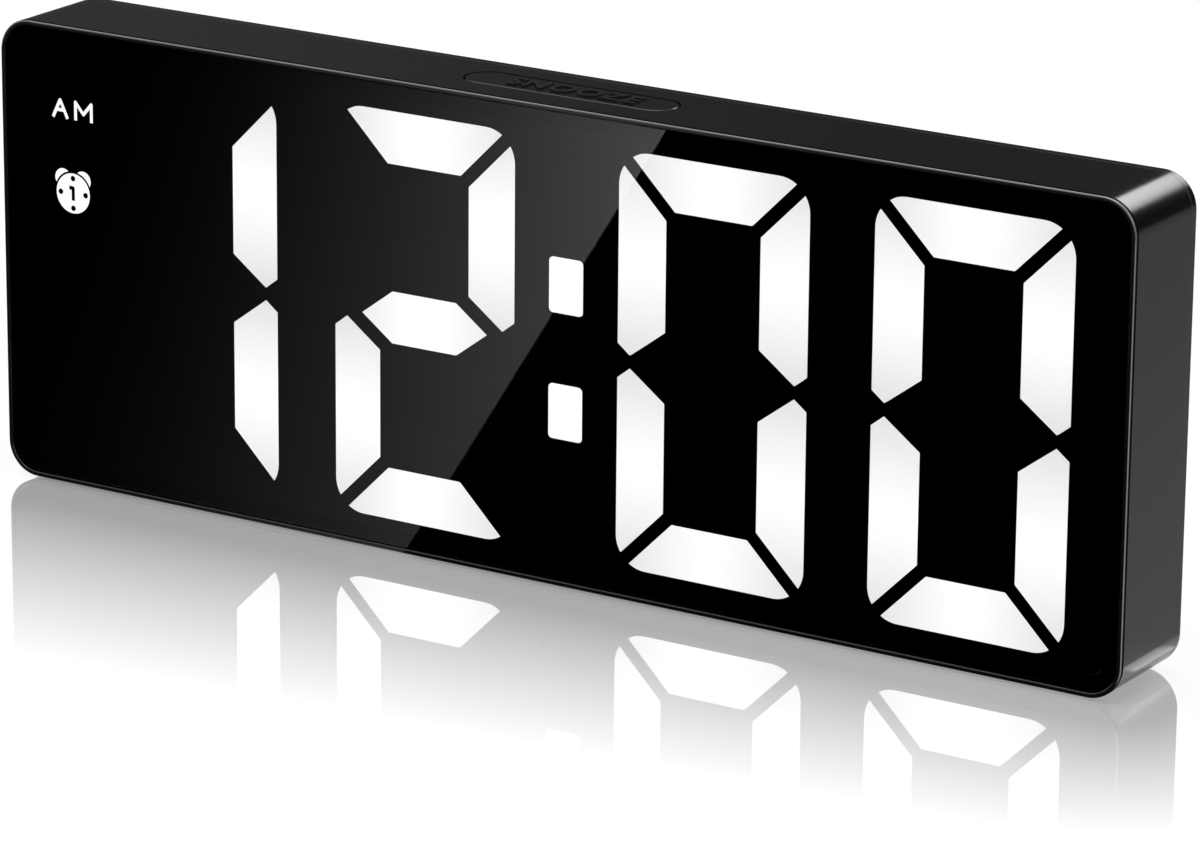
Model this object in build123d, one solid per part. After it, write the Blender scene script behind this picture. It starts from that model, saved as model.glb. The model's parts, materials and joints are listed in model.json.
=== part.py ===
from build123d import *
import os
from math import cos, pi, sin, sqrt

# A free-standing digital alarm clock with a display over its whole front.
# Millimetres. The origin lies on the surface that the clock stands on, under the middle of the case.
# +X is to the right seen from the front, +Y points to the back and +Z up.
# A depth is measured from the front rim towards the back.

# Digits, seen from the front
DIGIT_WIDTH = 30.75
DIGIT_HEIGHT = 60.95
DIGIT_CORNER = 4.9
SEGMENT_WIDTH = 7.8
SEGMENT_GAP = 1.95
BAR_POINT = 5.25
BAR_INSET = 4.65
UPRIGHT_TIP_INSET = 2.05
UPRIGHT_TIP_RISE = 0.9
UPRIGHT_SHOULDER = 2.5
DIGIT_SPACE = 10.15
COLON_SPACE = 17.2
COLON_WIDTH = 5.7
COLON_HEIGHT = 8.2
COLON_PITCH = 18.55
COLON_CORNER = 0.7

# Small markers in the column left of the digits
MARKER_INSET = 12.15
MARKER_ROOM = 1.625
AM_ROOM = 5.25
MARKER_STEP = 12.7
LETTER_HEIGHT = 3.0
LETTER_WIDTH = 3.4
LETTER_A_WIDTH = 2.95
LETTER_SPACE = 0.85
LETTER_STROKE = 0.52
LETTER_BAR_DROP = 1.75
DIAL_RADIUS = 3.05
DIAL_DOT_RADIUS = 0.42
DIAL_DOT_INSET = 0.78
DIAL_STROKE = 0.58
DIAL_NUMERAL_HEIGHT = 2.2
DIAL_NUMERAL_FLAG = 0.42
BELL_RADIUS = 1.45
BELL_ACROSS = 1.8
BELL_RISE = 2.15
BELL_GAP = 0.3
MARKER_SKIN = 0.6
MARKER_CARRIER = 0.5
MARKER_MARGIN = 0.5

# Case
RIGHT_ROOM = 1.85
TOP_ROOM = 1.65
BOTTOM_ROOM = 1.2
CASE_CORNER = 5.1
WALL = 1.8
RIM_WIDTH = 0.7
RIM_STEP = 0.25
RIM_ROUND = 0.25
RIM_CHAMFER = 0.1
SEAM_CHAMFER = 0.05
LEDGE_WIDTH = 2.2
COVER_THICK = 1.6
COVER_ROUND = 0.5
LIP_THICK = 1.2
LIP_DEPTH = 2.0
LIP_CLEAR = 0.15
PILLAR_INSET = 4.9
PILLAR_HALF = 2.6
FOOT_STAND = 0.4
FOOT_SEAT = 0.6
FOOT_LENGTH = 48.0
FOOT_DEPTH = 11.0
FOOT_OFFSET = 54.0
FOOT_CORNER = 2.0
FOOT_CLEAR = 0.1

# Front stack, from the rim inwards
LENS_THICK = 1.0
LENS_CLEAR = 0.1
LENS_CHAMFER = 0.05
TAPE_THICK = 0.15
TAPE_INSET = 0.15
LEDGE_THICK = 1.05
DISPLAY_GAP = 0.2
REFLECTOR_DEPTH = 2.6
LIGHT_BAR_DEPTH = 1.1
LIGHT_BAR_CLEAR = 0.05
BOARD_CLEAR = 0.3
BOARD_THICK = 0.8
LED_LENGTH = 2.0
LED_WIDTH = 1.25
LED_HEIGHT = 0.8

# Battery bay and its door
CELL_COUNT = 3
CELL_DIAMETER = 10.5
CELL_LENGTH = 44.5
CELL_NUB_LENGTH = 0.8
CELL_NUB_DIAMETER = 3.8
CELL_SPACE = 0.5
CELL_CLEAR = 0.3
WRAP_THICK = 0.2
WRAP_CLEAR = 0.03
WRAP_INSET = 0.8
BAY_GAP = 0.25
BAY_FLOOR = 0.7
BAY_WALL = 1.6
BAY_COLLAR = 1.4
BAY_COLLAR_DEPTH = 1.0
BAY_FLOOR_CLEAR = 0.1
DOOR_UNDER = 0.15
DOOR_THICK = 1.25
DOOR_SET = 0.1
DOOR_LEDGE = 0.9
DOOR_CLEAR = 0.2
HINGE_FLAT = 0.05
HINGE_CLEAR = 0.3
HINGE_INNER_ROUND = 0.35
PIN_DIAMETER = 1.0
PIN_LENGTH = 1.2
PIN_CLEAR = 0.15
GRIP_COUNT = 3
GRIP_LENGTH = 14.0
GRIP_WIDTH = 0.9
GRIP_PITCH = 2.0
GRIP_CUT = 0.4
GRIP_DROP = 3.0
SCOOP_RADIUS = 3.2
SCOOP_DEPTH = 0.7
CONTACT_THICK = 0.3
CONTACT_SIZE = 8.0
CONTACT_CLEAR = 0.1
TAIL_WIDTH = 2.0
TAIL_REACH = 1.8
TAIL_CLEAR = 0.3
SPRING_LENGTH = 5.0
SPRING_TURNS = 3
SPRING_WIRE = 0.5
SPRING_BASE_RADIUS = 3.4
SPRING_TIP_RADIUS = 1.9
LEAD_DIAMETER = 1.1
LEAD_RUN = 5.0
LEAD_BEND = 2.0

# Key panel on the back
PANEL_HEIGHT = 10.0
PANEL_RECESS = 0.9
PANEL_WALL = 1.2
PANEL_CORNER = 2.0
PANEL_MARGIN = 2.2
KEY_LENGTH = 9.6
KEY_WIDTH = 4.6
KEY_CLEAR = 0.2
KEY_STAND = 0.7
KEY_ROUND = 0.4
KEY_SPACE = 3.0
KEY_FLANGE_REACH = 1.2
KEY_FLANGE_THICK = 0.8
KEY_FLANGE_GAP = 0.1
KEY_FLANGE_CORNER = 1.5
KEY_STEM = 0.7
KEY_TRAVEL = 0.5
SWITCH_SIZE = 6.0
SWITCH_HEIGHT = 3.2
PLUNGER_DIAMETER = 3.2
PLUNGER_CLEAR = 0.15
PLUNGER_STAND = 0.6
PLUNGER_DEPTH = 1.5
PLUNGER_ROOM = 0.1
KEY_BOARD_THICK = 1.0
KEY_BOARD_HEIGHT = 12.0
KEY_BOARD_MARGIN = 4.0
KEY_BOARD_ROOM = 3.0
KEY_BOSS_DIAMETER = 5.0
KEY_BOSS_SIDE = 12.0
KEY_BOSS_STEP = 11.0
KEY_BOSS_X = 11.0

# Alarm switch and power inlet, beside the keys
SLIDER_STEP = 11.0
SLIDER_LENGTH = 8.6
SLIDER_WIDTH = 4.0
SLIDER_HEIGHT = 3.5
SLIDER_TRAVEL = 2.0
SLIDER_SLOT_DEPTH = 1.5
SLIDER_ROOM = 0.2
KNOB_LENGTH = 3.0
KNOB_WIDTH = 2.4
KNOB_FOOT_LENGTH = 2.0
KNOB_FOOT_WIDTH = 1.6
KNOB_CLEAR = 0.2
KNOB_ROUND = 0.3
INLET_STEP = 20.0
INLET_LENGTH = 9.0
INLET_WIDTH = 3.3
INLET_WALL = 0.3
INLET_FLOOR = 0.5
INLET_CLEAR = 0.25
INLET_SET = 0.2
TONGUE_LENGTH = 6.6
TONGUE_THICK = 0.7
TONGUE_SET = 0.7

# Snooze button in the top
SNOOZE_LENGTH = 34.6
SNOOZE_WIDTH = 6.6
SNOOZE_CLEAR = 0.25
SNOOZE_ROUND = 0.25
SNOOZE_FLANGE_REACH = 2.0
SNOOZE_FLANGE_INSET = 0.6
SNOOZE_FLANGE_THICK = 0.8
SNOOZE_FLANGE_GAP = 0.1
SNOOZE_STEM = 1.3
SNOOZE_STEM_DIAMETER = 2.4
SNOOZE_TRAVEL = 0.6
SNOOZE_SWITCH_LENGTH = 6.0
SNOOZE_SWITCH_DEPTH = 3.3
SNOOZE_SWITCH_HEIGHT = 4.5
SNOOZE_PLUNGER_DIAMETER = 2.0

# Parts on the main board
CONTROLLER_X = -56.0
CONTROLLER_RISE = 27.0
CONTROLLER_LENGTH = 18.0
CONTROLLER_WIDTH = 7.5
DRIVER_RISE = 42.0
DRIVER_LENGTH = 10.0
DRIVER_WIDTH = 4.0
CHIP_HEIGHT = 1.8
CHIP_PIN_PITCH = 1.27
CHIP_PIN_WIDTH = 0.45
CHIP_PIN_REACH = 1.2
CHIP_PIN_HEIGHT = 0.5
CRYSTAL_RISE = 14.0
CRYSTAL_LENGTH = 11.0
CRYSTAL_WIDTH = 4.6
CRYSTAL_HEIGHT = 3.5
CAPACITOR_COUNT = 2
CAPACITOR_X = 41.0
CAPACITOR_RISE = 16.0
CAPACITOR_PITCH = 9.0
CAPACITOR_DIAMETER = 6.3
CAPACITOR_HEIGHT = 7.0
CAPACITOR_ROUND = 0.5
BUZZER_X = 62.0
BUZZER_RISE = 28.0
BUZZER_DIAMETER = 12.0
BUZZER_HEIGHT = 7.0
BUZZER_HOLE = 2.0
BUZZER_HOLE_DEPTH = 1.0
BUZZER_ROUND = 0.5
SOUND_HOLE = 1.3
SOUND_RINGS = 2
SOUND_PITCH = 2.5
POST_DIAMETER = 4.0
POST_INSET = 11.5
POST_RISE = 12.0
POST_ROOM = 0.7
LINK_X = -20.0
LINK_ROOM = 0.8
LINK_PIN_COUNT = 8
LINK_PIN_PITCH = 2.54
LINK_PIN = 0.64
LINK_PIN_PROUD = 0.8
LINK_HOLE = 1.1
LINK_WIDTH = 2.5

# Screws
COVER_SCREW_SHANK = 1.9
COVER_SCREW_LENGTH = 8.0
COVER_SCREW_HEAD = 3.8
COVER_SCREW_HEAD_HEIGHT = 0.9
BOARD_SCREW_SHANK = 1.5
BOARD_SCREW_LENGTH = 2.8
BOARD_SCREW_HEAD = 3.0
BOARD_SCREW_HEAD_HEIGHT = 0.9
BOARD_SCREW_SPREAD = 23.0
KEY_SCREW_LENGTH = 4.5
SCREW_CLEAR = 0.25
SCREW_BORE_CLEAR = 0.05
SCREW_BORE_ROOM = 0.6
CROSS_SHARE = 0.6
CROSS_WIDTH = 0.5
CROSS_DEPTH = 0.45

# Depths of the stack, worked out from the front
lens_back = RIM_STEP + LENS_THICK
ledge_front = lens_back + TAPE_THICK
ledge_back = ledge_front + LEDGE_THICK
display_front = lens_back + DISPLAY_GAP
board_front = display_front + REFLECTOR_DEPTH
board_back = board_front + BOARD_THICK
bay_front = board_back + BAY_GAP
bay_floor = bay_front + BAY_FLOOR
cell_depth = bay_floor + BAY_FLOOR_CLEAR + CELL_DIAMETER / 2
door_front = cell_depth + CELL_DIAMETER / 2 + DOOR_UNDER
door_back = door_front + DOOR_THICK
case_depth = door_back + DOOR_SET
split = case_depth - COVER_THICK
panel_back = case_depth - PANEL_RECESS
panel_front = panel_back - PANEL_WALL
key_top = panel_back + KEY_STAND
flange_back = panel_front - KEY_FLANGE_GAP
flange_front = flange_back - KEY_FLANGE_THICK
plunger_top = flange_front - KEY_STEM
switch_top = plunger_top - PLUNGER_STAND
key_board_back = switch_top - SWITCH_HEIGHT
key_board_front = key_board_back - KEY_BOARD_THICK

# Widths, worked out from the markers, the digits and the pillars
pillar_zone = PILLAR_INSET + PILLAR_HALF
dial_half = max(DIAL_RADIUS, max(BELL_ACROSS, BELL_RISE) + BELL_RADIUS) + MARKER_MARGIN
pair_half = LETTER_WIDTH + LETTER_SPACE / 2 + MARKER_MARGIN
letter_half = LETTER_HEIGHT / 2 + MARKER_MARGIN
left_margin = MARKER_INSET + max(dial_half, pair_half) + MARKER_ROOM
right_margin = pillar_zone + RIGHT_ROOM
case_width = left_margin + 4 * DIGIT_WIDTH + 2 * DIGIT_SPACE + COLON_SPACE + right_margin
digit_pitch = DIGIT_WIDTH + DIGIT_SPACE
first_digit = -case_width / 2 + left_margin + DIGIT_WIDTH / 2
third_digit = first_digit + digit_pitch + DIGIT_WIDTH + COLON_SPACE
digit_centres = [first_digit, first_digit + digit_pitch, third_digit, third_digit + digit_pitch]
colon_centre = (digit_centres[1] + digit_centres[2]) / 2
marker_x = -case_width / 2 + MARKER_INSET
bay_length = CELL_LENGTH + SPRING_LENGTH + 2 * CONTACT_THICK + 2 * CONTACT_CLEAR

# Heights, worked out from the digits in front and from the bay and the key board behind
plateau_inset = RIM_WIDTH + LEDGE_WIDTH + BOARD_CLEAR
display_height = 2 * plateau_inset + BOTTOM_ROOM + DIGIT_HEIGHT + TOP_ROOM
cell_pitch = CELL_DIAMETER + CELL_SPACE
bay_height = CELL_COUNT * cell_pitch - CELL_SPACE + 2 * CELL_CLEAR
bay_rim = BAY_WALL + BAY_COLLAR
snooze_reach = WALL + SNOOZE_FLANGE_GAP + SNOOZE_FLANGE_THICK + SNOOZE_TRAVEL
key_board_drop = snooze_reach + KEY_BOARD_ROOM
lip_inset = WALL + LIP_CLEAR + LIP_THICK
rear_height = lip_inset + bay_height + 2 * bay_rim + KEY_BOARD_HEIGHT + key_board_drop
case_height = max(display_height, rear_height)
case_top = FOOT_STAND + case_height
case_middle = FOOT_STAND + case_height / 2
digit_middle = FOOT_STAND + plateau_inset + BOTTOM_ROOM + DIGIT_HEIGHT / 2
am_height = case_top - pillar_zone - AM_ROOM
alarm_height = am_height - MARKER_STEP
pm_height = alarm_height - MARKER_STEP
panel_middle = case_top - key_board_drop - KEY_BOARD_HEIGHT / 2
bay_top = panel_middle - KEY_BOARD_HEIGHT / 2 - bay_rim
bay_bottom = bay_top - bay_height
bay_middle = (bay_top + bay_bottom) / 2
cell_heights = [bay_middle + cell_pitch * (i - (CELL_COUNT - 1) / 2) for i in range(CELL_COUNT)]
door_bottom = bay_bottom - DOOR_LEDGE
door_top = bay_top + DOOR_LEDGE
hinge_round = DOOR_THICK - HINGE_INNER_ROUND - HINGE_FLAT
hinge_depth = door_back - hinge_round
hinge_height = door_bottom + DOOR_CLEAR + hinge_round
post_heights = [POST_RISE, panel_middle - KEY_BOARD_HEIGHT / 2 - POST_ROOM - POST_DIAMETER / 2]
link_height = panel_middle - SWITCH_SIZE / 2 - LINK_ROOM

# Places along the key panel, from the boss in its middle
key_names = ["time", "alarm", "plus", "minus"]
key_flange_length = KEY_LENGTH + 2 * KEY_FLANGE_REACH
key_flange_width = KEY_WIDTH + 2 * KEY_FLANGE_REACH
key_pitch = key_flange_length + KEY_SPACE
last_key = KEY_BOSS_X - KEY_BOSS_STEP
key_places = [last_key - key_pitch * (len(key_names) - 1 - i) for i in range(len(key_names))]
slider_x = KEY_BOSS_X + SLIDER_STEP
inlet_x = slider_x + INLET_STEP
boss_places = [key_places[0] - KEY_BOSS_SIDE, KEY_BOSS_X, inlet_x + KEY_BOSS_SIDE]
panel_left = key_places[0] - key_flange_length / 2 - PANEL_MARGIN
panel_right = inlet_x + INLET_LENGTH / 2 + PANEL_MARGIN
board_left = boss_places[0] - KEY_BOARD_MARGIN
board_right = boss_places[-1] + KEY_BOARD_MARGIN

# Snooze button stack, worked out from the top
snooze_flange_top = case_top - WALL - SNOOZE_FLANGE_GAP
snooze_stem_top = snooze_flange_top - SNOOZE_FLANGE_THICK
snooze_plunger_top = snooze_stem_top - SNOOZE_STEM
snooze_switch_top = snooze_plunger_top - SNOOZE_TRAVEL - PLUNGER_ROOM
snooze_switch_depth = key_board_front - SNOOZE_SWITCH_DEPTH / 2

lit_segments = ["bc", "abdeg", "abcdef", "abcdef"]


def y_at(depth):
    """Y of a depth behind the front rim."""
    return depth - case_depth / 2


def front_plane(depth):
    """Plane parallel to the front at a depth; its own x is +X and its own y is +Z."""
    return Plane(origin=(0, y_at(depth), 0), x_dir=(1, 0, 0), z_dir=(0, -1, 0))


def slab(outline, front, back):
    """Solid of a front-view outline between two depths."""
    return extrude(front_plane(front) * outline, amount=back - front, dir=(0, 1, 0))


def plan(outline, bottom, top):
    """Solid of a plan-view outline between two heights."""
    return extrude(Plane.XY.offset(bottom) * outline, amount=top - bottom, dir=(0, 0, 1))


def bar_along_x(radius, left, right, depth, height):
    """Round bar along X between two places."""
    plane = Plane(origin=(left, y_at(depth), height), x_dir=(0, 1, 0), z_dir=(1, 0, 0))
    return extrude(plane * Circle(radius), amount=right - left)


def at(x, height, outline):
    """A front-view outline moved to a place."""
    return Pos(x, height) * outline


def case_outline(inset):
    """The case's rounded outline, drawn in by an even inset."""
    corner = max(CASE_CORNER - inset, RIM_ROUND)
    outline = RectangleRounded(case_width - 2 * inset, case_height - 2 * inset, corner)
    return at(0, case_middle, outline)


def corner_places(inset):
    """The four corners of the case, drawn in by an inset."""
    across = case_width / 2 - inset
    up = case_height / 2 - inset
    return [(sx * across, case_middle + sz * up) for sx in (-1, 1) for sz in (-1, 1)]


def segment_outlines():
    """Outline of each segment about the middle of its digit, by its usual letter."""
    half_width = DIGIT_WIDTH / 2
    half_height = DIGIT_HEIGHT / 2
    inner_x = half_width - SEGMENT_WIDTH
    inner_z = half_height - SEGMENT_WIDTH
    mitre = SEGMENT_GAP / sqrt(2)
    slope = SEGMENT_WIDTH / 2 / BAR_POINT
    shoulder = UPRIGHT_TIP_RISE + (SEGMENT_WIDTH - UPRIGHT_TIP_INSET) * slope
    tip = half_width - BAR_INSET
    frame = RectangleRounded(DIGIT_WIDTH, DIGIT_HEIGHT, DIGIT_CORNER)
    end_bar = [
        (half_width - mitre, half_height),
        (mitre - half_width, half_height),
        (mitre - inner_x, inner_z),
        (inner_x - mitre, inner_z),
    ]
    upright = [
        (half_width, half_height - mitre),
        (inner_x, inner_z - mitre),
        (inner_x, shoulder),
        (half_width - UPRIGHT_TIP_INSET, UPRIGHT_TIP_RISE),
        (half_width, UPRIGHT_SHOULDER),
    ]
    middle_bar = [
        (tip, 0),
        (tip - BAR_POINT, SEGMENT_WIDTH / 2),
        (BAR_POINT - tip, SEGMENT_WIDTH / 2),
        (-tip, 0),
        (BAR_POINT - tip, -SEGMENT_WIDTH / 2),
        (tip - BAR_POINT, -SEGMENT_WIDTH / 2),
    ]

    def flipped(points, across, up):
        return frame & Polygon(*[(across * x, up * z) for x, z in points], align=None)

    return {
        "a": flipped(end_bar, 1, 1),
        "b": flipped(upright, 1, 1),
        "c": flipped(upright, 1, -1),
        "d": flipped(end_bar, 1, -1),
        "e": flipped(upright, -1, -1),
        "f": flipped(upright, -1, 1),
        "g": flipped(middle_bar, 1, 1),
    }


segments = segment_outlines()


def strokes(points, width):
    """Outline of a pen line of one width through some points, with square ends."""
    outline = None
    for (x0, z0), (x1, z1) in zip(points, points[1:]):
        run = Vector(x1 - x0, z1 - z0, 0)
        turn = Rot(0, 0, Vector(1, 0, 0).get_signed_angle(run, Vector(0, 0, 1)))
        piece = Pos((x0 + x1) / 2, (z0 + z1) / 2) * turn * SlotCenterToCenter(run.length, width)
        for point in ((x0, z0), (x1, z1)):
            if point in (points[0], points[-1]):
                piece += Pos(*point) * turn * Rectangle(width, width)
        outline = piece if outline is None else outline + piece
    return outline


def letter_a():
    """Letter A about its own middle."""
    half = (LETTER_A_WIDTH - LETTER_STROKE) / 2
    rise = (LETTER_HEIGHT - LETTER_STROKE) / 2
    sides = strokes([(-half, -rise), (0, rise), (half, -rise)], LETTER_STROKE)
    level = LETTER_HEIGHT / 2 - LETTER_BAR_DROP
    reach = half * (rise - level) / (2 * rise) - LETTER_STROKE / 2
    return sides + strokes([(-reach, level), (reach, level)], LETTER_STROKE)


def letter_m():
    """Letter M about its own middle."""
    half = (LETTER_WIDTH - LETTER_STROKE) / 2
    rise = (LETTER_HEIGHT - LETTER_STROKE) / 2
    points = [(-half, -rise), (-half, rise), (0, -rise / 3), (half, rise), (half, -rise)]
    return strokes(points, LETTER_STROKE)


def letter_p():
    """Letter P about its own middle."""
    half = (LETTER_WIDTH - LETTER_STROKE) / 2
    rise = (LETTER_HEIGHT - LETTER_STROKE) / 2
    bowl = half * 2 / 3
    foot = LETTER_STROKE / 2 - half
    points = [(-half, -rise), (-half, rise), (bowl, rise), (half, rise / 2), (bowl, 0), (foot, 0)]
    return strokes(points, LETTER_STROKE)


def letter_pair(first):
    """Two letters side by side, of which the second is M."""
    step = (LETTER_WIDTH + LETTER_SPACE) / 2
    return Pos(-step, 0) * first + Pos(step, 0) * letter_m()


def alarm_outline():
    """Round alarm dial with a numeral, four hour dots and two bells."""
    rise = (DIAL_NUMERAL_HEIGHT - DIAL_STROKE) / 2
    numeral = strokes([(-DIAL_NUMERAL_FLAG, rise), (0, rise), (0, -rise)], DIAL_STROKE)
    dot_reach = DIAL_RADIUS - DIAL_DOT_INSET
    dial = Circle(DIAL_RADIUS) - numeral
    for across, up in ((1, 0), (-1, 0), (0, 1), (0, -1)):
        dial -= Pos(across * dot_reach, up * dot_reach) * Circle(DIAL_DOT_RADIUS)
    bells = Sketch() + [Pos(side * BELL_ACROSS, BELL_RISE) * Circle(BELL_RADIUS) for side in (-1, 1)]
    return dial + (bells - Circle(DIAL_RADIUS + BELL_GAP))


marker_heights = {"am": am_height, "alarm": alarm_height, "pm": pm_height}
marker_signs = {
    "am": at(marker_x, am_height, letter_pair(letter_a())),
    "alarm": at(marker_x, alarm_height, alarm_outline()),
    "pm": at(marker_x, pm_height, letter_pair(letter_p())),
}


def colon_outline():
    """The two dots between the hours and the minutes."""
    dot = RectangleRounded(COLON_WIDTH, COLON_HEIGHT, COLON_CORNER)
    upper = at(colon_centre, digit_middle + COLON_PITCH / 2, dot)
    return upper + at(colon_centre, digit_middle - COLON_PITCH / 2, dot)


def digit_bars(index, letters):
    """Light bars of one digit for the segments named."""
    place = Pos(digit_centres[index], digit_middle)
    outline = Sketch() + [place * offset(segments[name], -LIGHT_BAR_CLEAR) for name in letters]
    return slab(outline, display_front, display_front + LIGHT_BAR_DEPTH)


def digit_lit(index):
    """Light bars that glow at twelve o'clock."""
    return digit_bars(index, lit_segments[index])


def digit_dark(index):
    """Light bars that stay dark at twelve o'clock."""
    return digit_bars(index, [name for name in segments if name not in lit_segments[index]])


def colon_dots():
    """Light bars of the colon."""
    return slab(offset(colon_outline(), -LIGHT_BAR_CLEAR), display_front, display_front + LIGHT_BAR_DEPTH)


def filled(outline):
    """An outline without its inner holes."""
    return Sketch() + [Face(face.outer_wire()) for face in outline.faces()]


def marker_cell(name, grow):
    """Outline of the light cell behind one marker, grown on all sides."""
    half_width, half_height = (dial_half, dial_half) if name == "alarm" else (pair_half, letter_half)
    return at(marker_x, marker_heights[name], Rectangle(2 * (half_width + grow), 2 * (half_height + grow)))


def marker(name):
    """Light piece of one marker: a carrier plate in its cell, with the sign standing in the skin."""
    skin_back = display_front + MARKER_SKIN
    carrier = slab(marker_cell(name, -LIGHT_BAR_CLEAR), skin_back, skin_back + MARKER_CARRIER)
    return carrier + slab(marker_signs[name], display_front, skin_back)


def marker_inlays():
    """Black inlays inside the closed parts of the markers."""
    inlays = [filled(outline) - outline for outline in marker_signs.values()]
    return slab(Sketch() + inlays, display_front, display_front + MARKER_SKIN)


def display_reflector():
    """Black block with a light cell for every segment, dot and marker."""
    plateau = slab(case_outline(plateau_inset), display_front, ledge_back)
    flange = slab(board_outline(), ledge_back, board_front)
    block = plateau + flange
    for centre in digit_centres:
        cells = [Pos(centre, digit_middle) * outline for outline in segments.values()]
        block -= slab(Sketch() + cells, display_front, board_front)
    block -= slab(colon_outline(), display_front, board_front)
    for name, sign in marker_signs.items():
        block -= slab(filled(sign), display_front, display_front + MARKER_SKIN)
        block -= slab(marker_cell(name, 0), display_front + MARKER_SKIN, board_front)
    bore = BOARD_SCREW_SHANK / 2 + SCREW_BORE_CLEAR
    for x, height in board_screw_places():
        depth = BOARD_SCREW_LENGTH - BOARD_THICK + SCREW_BORE_CLEAR
        block -= slab(at(x, height, Circle(bore)), board_front - depth, board_front)
    return block


def board_outline():
    """Outline of the main board: the inside of the case, notched for the pillars and the snooze button."""
    outline = case_outline(WALL + BOARD_CLEAR)
    notch = 2 * (PILLAR_HALF + BOARD_CLEAR)
    for x, height in corner_places(PILLAR_INSET):
        side = 1 if x > 0 else -1
        up = 1 if height > case_middle else -1
        shift = notch / 2
        corner = at(x + side * shift / 2, height + up * shift / 2, Rectangle(notch + shift, notch + shift))
        outline -= corner
    notch_bottom = case_top - snooze_reach - BOARD_CLEAR
    notch_size = (SNOOZE_LENGTH + 2 * SNOOZE_FLANGE_REACH + 2 * BOARD_CLEAR, 2 * (case_top - notch_bottom))
    return outline - at(0, case_top, Rectangle(*notch_size))


def board_screw_places():
    """Main board screws, between the digits of each pair."""
    left = (digit_centres[0] + digit_centres[1]) / 2
    right = (digit_centres[2] + digit_centres[3]) / 2
    return [(x, digit_middle + up * BOARD_SCREW_SPREAD) for x in (left, right) for up in (-1, 1)]


def link_places():
    """Pins of the header that joins the two boards."""
    first = LINK_X - LINK_PIN_PITCH * (LINK_PIN_COUNT - 1) / 2
    return [(first + LINK_PIN_PITCH * i, link_height) for i in range(LINK_PIN_COUNT)]


def post_places():
    """Posts of the rear cover that hold the main board down."""
    across = case_width / 2 - POST_INSET
    return [(side * across, height) for side in (-1, 1) for height in post_heights]


def front_housing():
    """Box that is open to the back, with the rim and the lens ledge in front."""
    block = slab(case_outline(0), 0, split)
    block = fillet(block.faces().sort_by(Axis.Y)[0].edges(), RIM_ROUND)
    block = chamfer(block.faces().sort_by(Axis.Y)[-1].edges(), SEAM_CHAMFER)
    block -= slab(case_outline(RIM_WIDTH), 0, ledge_front)
    block = chamfer(block.faces().sort_by(Axis.Y)[0].inner_wires()[0].edges(), RIM_CHAMFER)
    block -= slab(case_outline(RIM_WIDTH + LEDGE_WIDTH), ledge_front, ledge_back)
    block -= slab(case_outline(WALL), ledge_back, split)
    bore = COVER_SCREW_SHANK / 2 + SCREW_BORE_CLEAR
    bore_depth = COVER_SCREW_LENGTH + SCREW_BORE_ROOM
    size = PILLAR_HALF + PILLAR_INSET - WALL / 2
    for x, height in corner_places(PILLAR_INSET):
        side = 1 if x > 0 else -1
        up = 1 if height > case_middle else -1
        shift = size / 2 - PILLAR_HALF
        pillar = at(x + side * shift, height + up * shift, Rectangle(size, size))
        block += slab(pillar & case_outline(WALL / 2), ledge_back, split)
        block -= slab(at(x, height, Circle(bore)), split - bore_depth, split)
    slot = SlotOverall(SNOOZE_LENGTH + 2 * SNOOZE_CLEAR, SNOOZE_WIDTH + 2 * SNOOZE_CLEAR)
    block -= plan(slot, case_top - 2 * WALL, case_top + WALL)
    block -= foot_pads(FOOT_CLEAR, FOOT_STAND - FOOT_SEAT)
    return block


def foot_pads(grow, bottom):
    """The two foot strips, or the seats for them when grown."""
    pad = RectangleRounded(FOOT_LENGTH + 2 * grow, FOOT_DEPTH + 2 * grow, FOOT_CORNER + grow)
    return plan(Pos(-FOOT_OFFSET, 0) * pad + Pos(FOOT_OFFSET, 0) * pad, bottom, FOOT_STAND + FOOT_SEAT)


def foot_strips():
    """Rubber strips that the clock stands on."""
    return foot_pads(0, 0)


def front_lens():
    """Clear dark panel over the whole front, inside the rim."""
    lens = slab(case_outline(RIM_WIDTH + LENS_CLEAR), RIM_STEP, lens_back)
    return chamfer(lens.faces().sort_by(Axis.Y)[0].edges(), LENS_CHAMFER)


def lens_adhesive():
    """Frame of adhesive tape between the lens and its ledge."""
    frame = case_outline(RIM_WIDTH + TAPE_INSET) - case_outline(RIM_WIDTH + LEDGE_WIDTH)
    return slab(frame, lens_back, ledge_front)


def led_places():
    """Middle of every light cell."""
    across = (DIGIT_WIDTH - SEGMENT_WIDTH) / 2
    up = (DIGIT_HEIGHT - SEGMENT_WIDTH) / 2
    half_up = DIGIT_HEIGHT / 4
    spots = [(0, up), (0, 0), (0, -up)]
    spots += [(x, z) for x in (-across, across) for z in (-half_up, half_up)]
    places = [(centre + x, digit_middle + z) for centre in digit_centres for x, z in spots]
    places += [(colon_centre, digit_middle + side * COLON_PITCH / 2) for side in (-1, 1)]
    return places + [(marker_x, height) for height in marker_heights.values()]


def segment_leds():
    """One light chip in each cell, on the front of the main board."""
    die = Rectangle(LED_LENGTH, LED_WIDTH)
    return slab(Sketch() + [at(x, z, die) for x, z in led_places()], board_front - LED_HEIGHT, board_front)


def main_board():
    """Circuit board behind the reflector."""
    board = slab(board_outline(), board_front, board_back)
    hole = Circle(BOARD_SCREW_SHANK / 2 + SCREW_CLEAR)
    board -= slab(Sketch() + [at(x, z, hole) for x, z in board_screw_places()], board_front, board_back)
    pin_hole = Circle(LINK_HOLE / 2)
    return board - slab(Sketch() + [at(x, z, pin_hole) for x, z in link_places()], board_front, board_back)


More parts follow.
